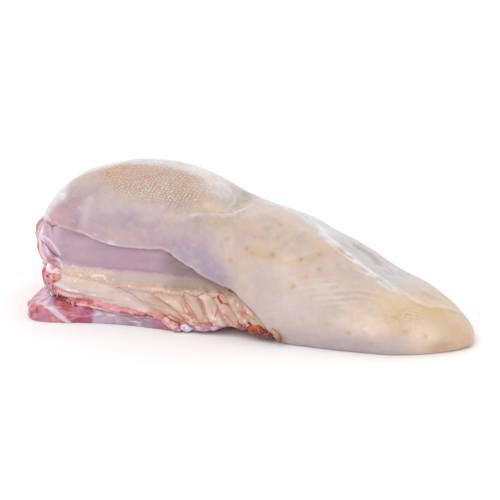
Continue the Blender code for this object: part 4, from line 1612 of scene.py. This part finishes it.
    def paint(self, points: Array, side: Array, depth: Array) -> Paint:
        """Colours of the bare flesh by height and place, near wall first, then the cut root face.

        Args:
            points: the flesh's points.
            side: each column's side factor.
            depth: each column's turn.

        Returns:
            The colours.
        """
        plane = self.plane_of(points)
        paint = Paint(points.shape[:2], (219, 196, 190), 0.6)
        self.paint_fat(paint, points, plane)
        self.paint_pleats(paint, points, plane, (side < 0)[None] * 1)
        self.paint_band(paint, points, plane)
        self.paint_foot(paint, points, plane)
        self.paint_corner(paint, points, plane)
        self.paint_cut(paint, points, depth)
        cloud = fractal(points, 9, 91, 3)
        fine = fractal(points, 2, 97, 2)
        paint.shade(1 + 0.04 * cloud + 0.035 * fine)
        return paint

    def paint_fat(self, paint: Paint, points: Array, plane: Array) -> None:
        """The fat: cream and granular at the root, greyer in front, and the smooth roll below it.

        Args:
            paint: takes the coats.
            points: the flesh's points.
            plane: each point's X and height, pushed about by noise.
        """
        lay = paint.lay
        x, z = np.moveaxis(plane, -1, 0)
        streak = fractal(points, (14, 14, 1.8), 93, 3)
        lay((227, 200, 188), within(x, -124, -84, 6) * within(z, 24, 39, 2))
        lay((205, 186, 180), within(x, -84, -34, 8) * within(z, 27, 39, 2.5) * 0.9, 0.8)
        lay((172, 147, 135), within(x, -42, 2, 8) * within(z, 24, 40, 3) * 0.9, 0.8)
        kernel, granular = self.granules(points, plane)
        lay((226, 190, 158), granular * ease(0.4, 0.75, kernel) * 0.7)
        lay((234, 208, 178), granular * ease(0.1, 0.5, noise(points, 4, 99)) * 0.5)
        glint = granular * ease(0.5, 0.28, kernel) * ease(-0.05, 0.25, noise(points, 2.8, 98))
        lay((252, 246, 238), glint * 0.75, 1)
        # the smooth roll
        lay((223, 200, 195), within(x, -120, -60, 6) * within(z, 13, 25.5, 2))
        lay((226, 203, 194), within(x, -70, -30, 8) * within(z, 8, 18, 3))
        smooth_roll = within(x, -118, -48, 6) * within(z, 12, 24, 2)
        lay((236, 214, 208), smooth_roll * ease(0.1, 0.5, streak) * 0.8)
        lay((208, 178, 166), smooth_roll * ease(-0.15, -0.5, streak) * 0.6)
        # white streaks on the roll and the fat above: partly white fascia, partly painted highlight
        broken = ease(-0.5, 0.2, noise(points, 4.5, 89)) * 0.85
        for line, half in (
            (((-124.1, 21.6), (-120.5, 24.5), (-114.8, 22.7), (-111.2, 20.6), (-105, 20.3)), 0.5),
            (((-106, 20.6), (-100, 19.8), (-93, 19.6)), 0.3), (((-112, 37), (-104, 36), (-97, 33.5)), 0.4),
            (((-96, 32.5), (-90, 33.6), (-84, 31)), 0.4),
        ):
            lay((250, 238, 238), stroke(plane, line, half, 0.7) * broken, 1)
        away = gap(plane, self.pearls)
        bead = self.beads(points, x)
        lay((224, 190, 160), ease(2.6, 1.2, away) * 0.6)
        lay((206, 158, 122), ease(0.8, 0.2, np.abs(away - 1.9)) * within(x, -60, -24, 5) * 0.5)
        gleam = ease(1.3, 0.5, away) * ease(0.2, 0.8, bead) * ease(-0.5, 0.3, noise(points, 7, 150))
        lay((248, 232, 214), gleam * 0.8, 1)
        away = gap(plane, self.crease)
        lay((218, 182, 152), np.exp(-((away / 1.6) ** 2)) * 0.5)
        lay((192, 146, 108), np.exp(-((away / 0.5) ** 2)) * 0.5)

    def paint_pleats(self, paint: Paint, points: Array, plane: Array, near: Array) -> None:
        """The pleats: cream folds with painted highlights on their tops, orange-brown where one tucks under
        the next, and a little blood.

        Args:
            paint: takes the coats.
            points: the flesh's points.
            plane: each point's X and height, pushed about by noise.
            near: 1 on the near side, 0 beyond.
        """
        lay = paint.lay
        x, z = np.moveaxis(plane, -1, 0)
        here = ease(-60, -48, x) * ease(31, 28, z - 0.1 * (x + 30))
        highest, second = self.pleat_heights(plane)
        fibres = self.fibres(points)
        patchiness = noise(points, 7, 113)
        lay((217, 184, 167), here)
        lay((206, 170, 154), here * ease(-12, 12, x) * 0.8)
        lay((150, 112, 98), within(x, -9, 8, 4) * ease(26, 30, z + 0.3 * x) * 0.85)
        # painted highlight on the tops of the highest pleats
        lay((240, 219, 205), here * ease(1.4, 2.2, highest) * ease(-0.2, 0.5, patchiness) * 0.7, 0.9)
        lay((216, 176, 150), here * ease(0.1, 0.6, fibres) * 0.5)
        lay((232, 206, 190), here * ease(-0.1, -0.6, fibres) * 0.5)
        tuck = here * np.exp(-(((highest - second) / 0.5) ** 2)) * ease(30.5, 27, z)
        lay((210, 146, 122), tuck * np.clip(0.55 + 0.45 * patchiness, 0, 1))
        deep = here * np.exp(-(((highest - second) / 0.2) ** 2)) * ease(30.5, 27, z)
        lay((194, 94, 74), deep * np.clip(0.45 + 0.7 * patchiness, 0, 0.9))
        dirty = here * within(x, -30, 24, 6) * ease(0.15, 0.5, fractal(points, 6, 167, 3))
        lay((202, 146, 122), dirty * 0.5)
        rusty = here * within(z, 26, 31, 1) * ease(-34, -22, x)
        lay((180, 104, 80), rusty * ease(0.2, 0.5, fractal(points, 2.6, 169, 2)) * 0.6)
        lay((214, 130, 112), here * within(z, 4, 9, 2) * ease(0, 0.5, noise(points, 4, 115)) * 0.5)
        marks = near * np.maximum(
            stroke(plane, ((-7.9, 28.4), (-6.2, 25.8), (-5, 24)), 0.45, 0.6),
            np.maximum(
                0.8 * stroke(plane, ((-5, 24), (-3.4, 23.7), (-1.4, 23)), 0.3, 0.6),
                0.5 * stroke(plane, ((-8, 22.6), (-6.4, 18.8), (-2.5, 15)), 0.2, 0.7),
            ),
        )
        lay((182, 38, 44), marks, 1)
        lay((208, 96, 56), near * stroke(plane, ((-2.4, 23.4), (-0.4, 22.4)), 0.5, 0.8) * 0.85)
        for line, half in (
            (((10.5, 30), (12.8, 26.5), (15.6, 23)), 0.35), (((-53, 23), (-47, 20.6), (-40, 18.4)), 0.2)
        ):
            lay((208, 146, 104), near * stroke(plane, line, half, 1) * 0.5)
        lay((226, 208, 182), near * stroke(plane, ((19, 20), (25, 15), (31, 10)), 0.4, 1) * 0.8, 0.9)
        tear = ((-33, 12.2), (-29, 10.2), (-24.5, 9), (-17, 8.6), (-10, 8.8))
        lay((196, 92, 76), stroke(plane, tear, 0.25, 0.8) * 0.6)
        lay((182, 118, 100), near * stroke(plane, ((-20.5, 24), (-18, 20.5), (-15, 16)), 0.9, 1.8) * 0.7)
        # painted highlights: small glints on the pleat tops
        pleat_highlights = (
            here * ease(1.2, 2.1, highest) * ease(0.32, 0.5, fractal(points, (1.6, 1.6, 3.4), 171, 2))
        )
        lay((248, 234, 224), pleat_highlights * 0.6, 1)
        olive = here * within(x, -16, 26, 5) * ease(0.1, 0.5, noise(points, 5, 117)) * within(z, 8, 30, 3)
        lay((198, 184, 152), olive * 0.5)

    @staticmethod
    def paint_band(paint: Paint, points: Array, plane: Array) -> None:
        """The purple band under the edge, streaked along X.

        Args:
            paint: takes the coats.
            points: the flesh's points.
            plane: each point's X and height, pushed about by noise.
        """
        lay = paint.lay
        x, z = np.moveaxis(plane, -1, 0)
        streak = fractal(points, (16, 16, 4), 93, 2)
        floor_of_band = along({-125: 36.4, -84: 38, -60: 39, -30: 39.2, -12: 36, 0: 33, 4: 34, 10: 40}, x)
        above = z - floor_of_band - 0.6 * streak
        purple = ease(-1.8, 1.4, above)
        lay((191, 163, 177), purple, 0.7)
        lay((188, 154, 173), purple * within(x, -92, -50, 12) * 0.8)
        # darker towards the front: partly own colour, partly painted shade under the deepening overhang
        lay((140, 118, 128), purple * ease(-54, -32, x) * 0.9)
        lay((152, 124, 120), purple * ease(-26, -8, x) * 0.8)
        olive = ease(0, 0.5, fractal(points, 4, 163, 2)) * within(x, -40, 4, 6) * ease(27, 31, z)
        lay((156, 132, 112), olive * 0.6)
        lay((204, 176, 188), purple * ease(0.1, 0.5, streak) * 0.3)
        lay((172, 140, 156), purple * ease(-0.1, -0.5, streak) * 0.25)
        lay((170, 134, 146), hump(above, 1.2, 1.1) * within(x, -86, -42, 8) * 0.55)
        lay((205, 172, 178), hump(above, -1.5, 1.3) * within(x, -120, -40, 8) * 0.5)
        lay((160, 128, 122), hump(z - floor_of_band, 0.2, 0.9) * within(x, -36, -8, 5) * 0.35)

    def paint_foot(self, paint: Paint, points: Array, plane: Array) -> None:
        """The salmon strips at the roll's foot, and the low layer of lean and membrane.

        Args:
            paint: takes the coats.
            points: the flesh's points.
            plane: each point's X and height, pushed about by noise.
        """
        lay = paint.lay
        x, z = np.moveaxis(plane, -1, 0)
        lean = fractal(points, (5, 5, 3), 101, 3)
        wisp = fractal(points, (7, 7, 1.8), 119, 3)
        foot = ease(
            0.6, -0.6, z - along({-124: 16, -112: 12, -100: 10.8, -69: 7.5, -49: 6, -27: 5.6, 0: 6}, x)
        )
        lay((192, 100, 116), foot, 0.6)
        for colour, low, high, soft in (
            ((200, 82, 88), -120, -108, 2.5), ((200, 116, 140), -108, -98, 2.5),
            ((186, 94, 136), -103, -95, 2)
        ):
            lay(colour, foot * within(x, low, high, soft) * 0.9)
        lay((200, 176, 198), foot * within(x, -95, -54, 2), 0.9)
        lay((172, 142, 164), foot * within(x, -74, -50, 5) * 0.85)
        lay((206, 150, 166), foot * within(x, -90, -76, 3) * ease(0, 0.5, lean) * 0.8)
        lay((232, 220, 230), foot * within(x, -95, -60, 3) * ease(0.1, 0.45, wisp) * 0.8, 1)
        lay((186, 124, 146), foot * within(x, -52, -2, 3) * 0.9)
        lay((172, 66, 84), foot * ease(-92, -98, x) * ease(0.05, 0.5, lean) * 0.7)
        lay((228, 168, 176), foot * ease(-92, -98, x) * ease(0.1, 0.5, wisp) * 0.6)
        lay((176, 78, 66), ease(2, 12, x) * ease(11, 7, z + 0.25 * (x - 10)) * 0.8)
        for stations, colour in ((self.salmon, (226, 152, 160)), (self.pink, (232, 188, 188))):
            line = tuple((s[0], s[2]) for s in stations)
            strip = stroke(plane, line, stations[0][4] * 0.55, 0.9)
            lay(colour, strip, 0.8)
            lay((236, 188, 186), strip * ease(0, 0.5, wisp) * 0.7)
        shelf = within(x, -122, -102, 4) * within(z + 0.12 * (x + 112), 16.6, 19.6, 0.8)
        lay((232, 184, 178), shelf * 0.85, 0.9)
        lay((196, 80, 88), stroke(plane, self.red_line, 0.15, 0.8) * 0.6)
        lay((176, 40, 52), stroke(plane, self.red_line, 0.4, 1.1) * ease(0.1, 0.35, lean) * 0.8)
        lay((176, 60, 68), stroke(plane, ((-106, 15.8), (-101, 15.4), (-96, 14.4)), 0.4, 1.4) * 0.8)
        for i in range(6):
            tick = ((-120 + 1.9 * i, 17.2 - 0.7 * i), (-118.6 + 1.9 * i, 14.2 - 0.7 * i))
            lay((164, 36, 54), stroke(plane, tick, 0.15, 0.6) * 0.7)

    def paint_corner(self, paint: Paint, points: Array, plane: Array) -> None:
        """The lobes with their fascia stripes, and the membranes at the root's near corner.

        Args:
            paint: takes the coats.
            points: the flesh's points.
            plane: each point's X and height, pushed about by noise.
        """
        lay = paint.lay
        x, z = np.moveaxis(plane, -1, 0)
        lean = fractal(points, (5, 5, 3), 101, 3)
        lobe = ease(-118, -124, x + 0.9 * z - 8) * ease(23, 17, z)
        patches = fractal(points, 3.4, 103, 2)
        lay((208, 128, 136), lobe, 0.6)
        lay((216, 92, 94), lobe * ease(0, 0.45, lean) * 0.85)
        lay((156, 52, 74), lobe * ease(0.3, 0.7, patches) * 0.8)
        lay((226, 176, 174), lobe * ease(-0.15, -0.5, patches) * 0.7)
        lay((196, 150, 190), lobe * ease(0.25, 0.6, noise(points, 4.4, 104)) * 0.4)
        lay((204, 170, 200), lobe * ease(11, 15, z + 1.5 * lean) * 0.75, 0.9)
        lay((168, 42, 52), stroke(plane, ((-132.6, 9), (-132, 8.6)), 0.5, 0.8) * 0.8)
        between = ease(2.8, 1.3, gap(plane, self.stripe_two)) * ease(-108, -112, x)
        lay((202, 166, 186), between * 0.85)
        lay((178, 158, 180), between * ease(0, 0.5, fractal(points, (3, 3, 2), 105, 2)) * 0.7)
        torn = ease(-0.8, 0, noise(points, 3, 165))
        lay((236, 204, 214), stroke(plane, self.stripe, 0.8, 1) * torn, 0.9)
        lay((228, 214, 228), stroke(plane, self.stripe_two, 0.4, 0.9) * torn, 0.9)
        corner, here = self.corner_of(points)
        wet_corner = here * ease(-117.5, -121, x - 0.12 * (z - 40)) * ease(17, 21, z) * ease(38, 35, z)
        lay((228, 150, 152), wet_corner, 1)
        lay((190, 66, 74), wet_corner * ease(0, 0.4, lean) * 0.8)
        sheet = fractal(points + np.stack([z * 0, z * 0, x * 0.6], -1), (5, 5, 14), 109, 3)
        skin = here * ease(-125, -131, corner[..., 0] + 0.25 * (50 - z)) * ease(35, 38, z)
        lay((212, 178, 196), skin, 0.9)
        lay((202, 142, 160), skin * ease(0.1, 0.5, sheet) * 0.7)
        lay((200, 140, 158), skin * stroke(corner, self.slit, 1.4, 1.6) * 0.6)
        for line, half, _ in self.strands:
            lay((238, 222, 232), here * stroke(corner, line, 0.4 * half, 0.8) * 0.9, 1)
        rosy = bell(corner, (-133, 38.5), (3.6, 3.6), 4)
        lay((184, 118, 134), here * rosy * 0.8)
        lay((232, 130, 100), here * stroke(corner, self.orange_edge, 0.8, 1.2) * 0.9)
        # painted shade in the slit between the membranes
        lay((132, 76, 96), here * stroke(corner, self.slit, 0.25, 0.8) * 0.85)
        lay((188, 132, 104), here * stroke(corner, ((-138, 66), (-135.6, 61.5)), 0.5, 1) * 0.7)

    def paint_cut(self, paint: Paint, points: Array, depth: Array) -> None:
        """The cut root face: bundles of lean with pale fascia between them.

        Args:
            paint: takes the coats.
            points: the flesh's points.
            depth: each column's turn.
        """
        lay = paint.lay
        z = points[..., 2]
        lean = fractal(points, (5, 5, 3), 101, 3)
        fine = fractal(points, 2, 97, 2)
        sheet = fractal(points, (5, 5, 9), 110, 3)
        seam = self.bundles_of(points)
        cut = ease(0.5, 0.8, depth + 0.12 * noise(points[0], 9, 159))[None] * ease(13, 18, z)
        lay((198, 118, 124), cut, 0.7)
        lay((172, 78, 88), cut * ease(0, 0.6, lean) * 0.8)
        lay((222, 168, 170), cut * ease(0, -0.5, fine) * 0.5)
        lay((226, 198, 204), cut * ease(0.13, 0.02, seam) * 0.75, 0.9)
        lay((224, 184, 176), cut * ease(0.2, 0.6, sheet) * 0.6)
        low_face = ease(0.3, 0.6, depth)[None] * ease(20, 14, z)
        lay((208, 134, 142), low_face * 0.8)
        lay((182, 84, 92), low_face * ease(0.1, 0.6, lean) * 0.8)
        lay((232, 206, 214), low_face * ease(0.3, 0.7, sheet) * 0.7)

    def build(self, finish: FleshFinish) -> None:
        """Makes the flesh as one closed piece, its top hidden in the body.

        Args:
            finish: the flesh's finish.
        """
        points, outward, side, depth = self.wall()
        points = points + outward * self.relief(points, outward, depth)[..., None]
        points[..., 2] = np.maximum(points[..., 2], 0)
        paint = self.paint(points, side, depth)
        middle_low = np.array((self.middle_x, 0, 0))
        middle_high = np.array((self.middle_x, 0, self.middle_top))
        inner_low = middle_low + (points[:1] - middle_low) * 0.5
        inner_high = middle_high + (points[-1:] - middle_high) * 0.5
        grid = np.concatenate([inner_low, points, inner_high])
        colour = np.concatenate([paint.colour[:1], paint.colour, paint.colour[-1:]])
        wet = np.concatenate([paint.wet[:1], paint.wet, paint.wet[-1:]])
        mesh = closed_mesh("root_flesh", grid, middle_low, middle_high, flip=True)
        carry_paint(mesh, with_poles(colour), with_poles(wet))
        settle("root_flesh", mesh, finish)


# ---------------------------------------------------------------- loose lumps and strands


@dataclass
class Lump:
    """A rounded scrap of flesh: an ellipse carried along a smooth path, roughened by noise."""

    name: str
    stations: tuple
    slot: Slot
    ground: Rgb
    marks: tuple = ()
    rough: float = 0.35
    blunt: float = 5.0
    facing: Rgb = (0.0, 0.0, 1.0)
    tip: Rgb | None = None
    rings: int = 60
    sides: int = 32
    seed: int = 5

    def build(self, finish: FleshFinish) -> None:
        """Makes the piece; each mark is (colour, noise size, threshold, share).

        Args:
            finish: the flesh's finish.
        """
        stations = np.array(self.stations, float)
        gaps = np.sqrt(np.linalg.norm(np.diff(stations[:, :3], axis=0), axis=1))
        knots = np.concatenate([[0], np.cumsum(gaps)])
        turn = np.linspace(0, math.pi, self.rings + 2)[1:-1]
        place = knots[-1] * (1 - np.cos(turn)) / 2
        path = np.stack([along(dict(zip(knots, column)), place) for column in stations.T], axis=-1)
        # the section shrinks to nothing at both ends, later for a larger blunt
        full = (1 - np.abs(np.cos(turn)) ** self.blunt) ** 0.5
        ahead = np.gradient(path[:, :3], axis=0)
        ahead /= np.linalg.norm(ahead, axis=1, keepdims=True)
        across = np.cross(ahead, self.facing)
        across /= np.linalg.norm(across, axis=1, keepdims=True)
        upward = np.cross(across, ahead)
        angles = np.linspace(0, 2 * math.pi, self.sides, endpoint=False)
        wide = (path[:, 3] * full)[:, None] * np.cos(angles)[None]
        high = (path[:, 4] * full)[:, None] * np.sin(angles)[None]
        grid = path[:, None, :3] + wide[..., None] * across[:, None] + high[..., None] * upward[:, None]
        grid -= normals_of(grid) * (self.rough * fractal(grid, 3.5, self.seed, 3) * full[:, None])[..., None]
        grid[..., 2] = np.maximum(grid[..., 2], 0)
        paint = Paint(grid.shape[:2], self.ground, 0.85)
        for i, (colour, size, threshold, share) in enumerate(self.marks):
            cloud = fractal(grid, size, self.seed + 10 * i + 1, 3)
            paint.lay(colour, ease(threshold - 0.15, threshold + 0.25, cloud) * share)
        if self.tip:
            along_it = place / knots[-1] + 0.15 * noise(grid[:, 0], 2, self.seed)
            paint.lay(self.tip, ease(0.3, 0.85, along_it)[:, None] * 0.9)
        mesh = closed_mesh(self.name, grid, path[0, :3], path[-1, :3], flip=True)
        carry_paint(mesh, with_poles(paint.colour), with_poles(paint.wet))
        settle(self.name, mesh, finish)


def scraps() -> tuple[Lump, ...]:
    """The loose scraps: meat in front, then tags and rolls below the pleats, then the root's corner."""
    return (
        Lump(
            "meat_purple", ((2, -38, 7.6, 2, 2), (8.5, -41.4, 8.6, 2.6, 2.8), (13.5, -42, 9.4, 1.8, 2)),
            Slot.LEAN, (204, 98, 118), (((218, 150, 172), 3.0, 0.1, 0.8), ((142, 44, 66), 3.0, 0.2, 0.8)),
            rough=0.9, blunt=3, seed=5
        ),
        Lump(
            "meat_brown",
            ((6, -39.6, 12, 1.6, 1.2), (12.5, -42.8, 12.4, 2.2, 1.9), (19, -43, 10.6, 1.6, 1.5)), Slot.LEAN,
            (146, 52, 36), (((112, 38, 34), 3.0, 0.1, 0.8), ((206, 116, 88), 2.4, 0.25, 0.7)), rough=0.9,
            blunt=3, seed=17
        ),
        Lump(
            "meat_orange", ((11, -41, 8, 2, 2.2), (17.5, -43.6, 8.2, 2.8, 3.6), (24, -44, 6.6, 2, 2.2)),
            # the light orange marks are painted highlights
            Slot.LEAN, (176, 68, 36), (((210, 112, 70), 3.0, 0.1, 0.7), ((136, 48, 34), 3.0, 0.2, 0.8)),
            rough=1.1, blunt=3, seed=15
        ),
        Lump(
            "meat_dark", ((17, -40, 5, 2, 2.4), (25.5, -43.6, 5.4, 2.2, 2.6), (31.5, -45, 6.6, 1.4, 1.6)),
            Slot.LEAN, (124, 44, 46), (((172, 92, 84), 2.6, 0.2, 0.7),), rough=0.7, blunt=3, seed=19
        ),
        Lump(
            "front_meat_far", ((-2, 27, 6, 5, 5), (10, 30, 5, 6, 6), (24, 30, 4, 6, 5)), Slot.LEAN,
            (178, 78, 58), (((120, 44, 40), 4.0, 0.1, 0.8), ((206, 130, 110), 3.0, 0.3, 0.6)), seed=6
        ),
        Lump(
            "hanging_scrap",
            ((29.5, -46.4, 11.4, 0.7, 0.9), (33, -47.4, 7.8, 1.3, 1.7), (36.4, -47.6, 2.8, 1.6, 2.3)),
            Slot.LEAN, (204, 164, 136), (((186, 124, 80), 4.0, 0.0, 0.6),), rough=0.5, blunt=3.0,
            tip=(150, 82, 44), seed=9
        ),
        Lump(
            "skin_tag",
            (
                (-48.5, -42, 8, 2, 1.8), (-43, -44, 6, 2.8, 2.8), (-37, -45, 3.2, 3.0, 2.8),
                (-33, -44.6, 1.4, 2.2, 2)
            ),
            Slot.FAT, (220, 168, 162), (((206, 100, 92), 2.8, 0.1, 0.75), ((246, 226, 222), 2.6, 0.2, 0.7)),
            rough=1.5, blunt=2.6, seed=21
        ),
        Lump(
            "white_bit",
            ((-34, -43.4, 3.6, 1.6, 1.8), (-30, -44.8, 3.6, 2.2, 2.4), (-25.5, -43.6, 3, 1.6, 1.8)),
            Slot.FASCIA, (242, 232, 242),
            (((200, 180, 212), 2.0, 0.0, 0.7), ((250, 246, 250), 2.0, 0.1, 0.8)), rough=1.1, blunt=2.6,
            seed=23
        ),
        Lump(
            "purple_roll",
            (
                (-29, -41.5, 3.2, 1.8, 1.8), (-22, -42.6, 4.4, 2.6, 2.4), (-13, -42, 5.4, 2.8, 2.5),
                (-2, -38.5, 7, 2, 1.8)
            ),
            Slot.FASCIA, (196, 142, 162),
            # the pale marks are painted highlights
            (((234, 214, 228), 3.6, -0.05, 0.8), ((176, 74, 96), 3.0, 0.1, 0.75)), rough=0.9, seed=25
        ),
        Lump(
            "nodule_white",
            (
                (-131.5, -39.6, 34, 2.2, 3.4), (-126.5, -42.6, 33.4, 2.6, 3.6), (-121, -43, 32.4, 2.4, 3),
                (-118, -42.6, 33, 1.4, 1.6)
            ),
            Slot.FASCIA, (242, 220, 232),
            # the whitest marks are painted highlights
            (((252, 244, 248), 2.6, 0.0, 0.85), ((208, 130, 140), 3.0, 0.15, 0.8)), rough=1.1, blunt=2.4,
            seed=31
        ),
        Lump(
            "nodule_orange",
            ((-127, -42.6, 28.6, 1.8, 1.8), (-122.5, -44.4, 28.4, 2.3, 2.6), (-118, -43.8, 28.8, 1.8, 1.8)),
            # the pale marks are painted highlights
            Slot.LEAN, (226, 164, 142), (((246, 216, 204), 2.6, 0.1, 0.8), ((206, 112, 92), 2.6, 0.15, 0.7)),
            rough=0.9, blunt=2.4, seed=33
        ),
        Lump(
            "nodule_pink",
            ((-129.5, -43, 26.4, 1.5, 1.6), (-125, -45, 25.4, 1.8, 1.9), (-121, -45, 25.4, 1.3, 1.3)),
            # the pale marks are painted highlights
            Slot.LEAN, (222, 140, 150), (((244, 212, 220), 2.4, 0.0, 0.8), ((166, 40, 58), 2.4, 0.15, 0.8)),
            rough=0.9, blunt=2.4, seed=39
        ),
        Lump(
            "nodule_red",
            (
                (-131.5, -36.5, 35, 1.8, 1.8), (-132.8, -38.6, 29, 2.2, 2.2), (-132, -39.4, 23, 2.2, 2),
                (-129.5, -41, 18, 1.4, 1.4)
            ),
            Slot.LEAN, (230, 136, 142), (((240, 134, 100), 4.0, 0.0, 0.8), ((190, 74, 84), 3.0, 0.1, 0.7)),
            rough=0.6, seed=35
        ),
        Lump(
            "nodule_low", ((-126, -45.6, 17.2, 1.2, 1.3), (-123.6, -46.6, 17, 1.4, 1.4)), Slot.FASCIA,
            (240, 226, 234), (), rough=0.4, blunt=2.4, seed=37
        ),
        Lump(
            "dark_speck", ((-129.2, -44.6, 28.6, 0.5, 0.6), (-127.8, -45, 28.4, 0.5, 0.6)), Slot.LEAN,
            (92, 56, 60), rough=0.1, seed=41
        )
    )


@dataclass
class Shreds:
    """Short torn strands that hang from the trimmed edges, all in one mesh."""

    groups: tuple = (  # from, to, how many, way, length, colours
        ((-131, -42.5, 25), (-124.5, -47, 22), 34, (0.2, -0.5, -1), 3.2,
         ((176, 48, 60), (226, 160, 166), (238, 220, 228))),
        ((-130.5, -42, 20.5), (-122, -47, 19), 26, (0.5, -0.5, -0.6), 2.6,
         ((160, 36, 52), (212, 110, 116), (232, 206, 216))),
        ((-118.5, -48, 15.2), (-106, -49, 13.2), 26, (0.4, -0.1, -1), 2.4, ((158, 30, 50), (190, 62, 70))),
        ((5, -43, 11), (28, -45.5, 8), 30, (0.6, -0.2, -0.8), 2.6,
         ((150, 58, 40), (206, 124, 88), (120, 40, 40))),
    )
    radius: float = 0.34
    scatter: float = 0.7
    rings: int = 6
    sides: int = 6
    seed: int = 71

    def build(self, finish: FleshFinish) -> None:
        """Makes the strands: each a thin tapering tube that bends a little as it goes.

        Args:
            finish: the flesh's finish.
        """
        rng = np.random.default_rng(self.seed)
        level = np.linspace(0, 1, self.rings)[None, :, None]
        turn = np.linspace(0, 2 * math.pi, self.sides, endpoint=False)
        all_points, all_colours = [], []
        for start, end, count, way, length, colours in self.groups:
            share = rng.random(count)[:, None]
            start, end = np.array(start), np.array(end)
            root = start + (end - start) * share + rng.normal(0, self.scatter, (count, 3))
            way = np.array(way, float) + rng.normal(0, 0.35, (count, 3))
            bend = rng.normal(0, 0.35, (count, 3))
            run = (length * (0.5 + rng.random(count)))[:, None, None]
            spine = root[:, None] + run * (level * way[:, None] + level**2 * bend[:, None])
            thick = self.radius * (0.7 + 0.8 * rng.random(count))[:, None, None] * np.sqrt(1.02 - level**2)
            side = np.stack([np.cos(turn), 0.6 * np.sin(turn), 0.5 * np.sin(turn)], axis=-1)
            all_points.append(spine[:, :, None] + thick[..., None] * side[None, None])
            all_colours.append(np.array([linear(colours[i]) for i in rng.integers(0, len(colours), count)]))
        points = np.concatenate(all_points)
        points[..., 2] = np.maximum(points[..., 2], 0.2)
        count = len(points)
        per_strand = self.rings * self.sides
        first = (np.arange(count) * per_strand)[:, None, None]
        quads = (grid_faces(self.rings, self.sides)[None] + first).reshape(-1, 4)
        rim = np.arange(self.sides)[None] + first[:, 0]
        far_rim = rim + per_strand - self.sides
        ends = np.concatenate([Papillae.base_fans(rim[:, ::-1]), Papillae.base_fans(far_rim)])
        mesh = raw_mesh("torn_strands", points.reshape(-1, 3) * MM, quads, ends)
        colours = np.repeat(np.concatenate(all_colours), per_strand, axis=0)
        carry_paint(mesh, colours, np.full(count * per_strand, 0.4))
        settle("torn_strands", mesh, finish)


# ---------------------------------------------------------------- stage


@dataclass
class Stage:
    """The pale floor, the soft lights and the camera."""

    azimuth: float = 18.0
    elevation: float = 19.0
    distance: float = 0.9
    lens: float = 97.0
    target: tuple[float, float, float] = (0.0, 0.0, 0.046)
    world_strength: float = 0.95
    floor_half: float = 6.0
    floor_z: float = -0.0002
    floor_colour: Rgb = (0.93, 0.93, 0.93)

    def floor(self) -> None:
        """A wide pale plate just under the tongue."""
        mesh = bpy.data.meshes.new("floor")
        far = self.floor_half
        corners = [(x * far, y * far, self.floor_z) for x, y in ((-1, -1), (1, -1), (1, 1), (-1, 1))]
        mesh.from_pydata(corners, [], [(0, 1, 2, 3)])
        plate = bpy.data.objects.new("floor", mesh)
        bpy.context.scene.collection.objects.link(plate)
        g = Graph("floor_paint")
        inputs = {"Base Color": (*self.floor_colour, 1.0), "Roughness": 0.9}
        shader = g.node("ShaderNodeBsdfPrincipled", {}, inputs)
        out = g.node("ShaderNodeOutputMaterial", {}, {})
        g.tree.links.new(shader.outputs["BSDF"], out.inputs["Surface"])
        mesh.materials.append(g.material)

    @staticmethod
    def lamp(name: str, kind: str, place: Rgb, aim: Rgb, **settings: float | str) -> None:
        """A light that looks from its place at its aim.

        Args:
            name: its name.
            kind: SUN, whose place only gives its direction, or AREA.
            place: where it stands, in metres.
            aim: what it points at.
            settings: its properties, such as its energy.
        """
        lamp = bpy.data.lights.new(name, kind)
        for key, value in settings.items():
            setattr(lamp, key, value)
        holder = bpy.data.objects.new(name, lamp)
        holder.location = place
        holder.rotation_mode = "QUATERNION"
        holder.rotation_quaternion = (Vector(place) - Vector(aim)).to_track_quat("Z", "Y")
        bpy.context.scene.collection.objects.link(holder)

    def camera(self) -> None:
        """The camera at the photograph's angle."""
        az, el = math.radians(self.azimuth), math.radians(self.elevation)
        back = Vector((math.sin(az) * math.cos(el), -math.cos(az) * math.cos(el), math.sin(el)))
        data = bpy.data.cameras.new("camera")
        data.lens = self.lens
        data.sensor_width = 36.0
        data.clip_start = 0.01
        holder = bpy.data.objects.new("camera", data)
        holder.location = Vector(self.target) + back * self.distance
        holder.rotation_mode = "QUATERNION"
        holder.rotation_quaternion = back.to_track_quat("Z", "Y")
        bpy.context.scene.collection.objects.link(holder)
        bpy.context.scene.camera = holder

    def build(self) -> None:
        """Sets up the whole stage."""
        scene = bpy.context.scene
        scene.view_settings.view_transform = "Standard"
        scene.view_settings.look = "None"
        world = bpy.data.worlds.new("soft_room")
        world.use_nodes = True
        background = world.node_tree.nodes["Background"]
        background.inputs["Color"].default_value = (1.0, 1.0, 1.0, 1.0)
        background.inputs["Strength"].default_value = self.world_strength
        scene.world = world
        self.floor()
        self.lamp("key_sun", "SUN", (-0.45, -0.75, 1.0), (0, 0, 0), angle=math.radians(50), energy=0.9)
        self.lamp("back_light", "AREA", (0.1, 1.3, 0.75), (0, 0, 0.04), shape="SQUARE", size=1.0, energy=1.2)
        self.camera()


def main() -> None:
    """Builds the tongue and its stage, in order."""
    logging.basicConfig(level=logging.INFO, format="%(name)s %(message)s")
    mucosa = FleshFinish("mucosa_skin")
    bare = FleshFinish(
        "bare_flesh", roughness=0.42, wet_drop=0.26, coat=0.5, coat_roughness=0.08, scatter=0.22,
        pore_size=0.0016, pore_depth=0.0001, ripple_size=0.003, ripple_depth=0.00035,
    )
    soft_points = FleshFinish("papilla_skin", pore_depth=0.0, ripple_depth=0.0, scatter=0.0)
    grid, normals = TongueBody().build(mucosa)
    Papillae().build(grid, normals, soft_points)
    RootFlesh().build(bare)
    for lump in scraps():
        lump.build(bare)
    Shreds().build(bare)
    Stage().build()
    bpy.context.view_layer.update()


if __name__ == "__main__":
    main()
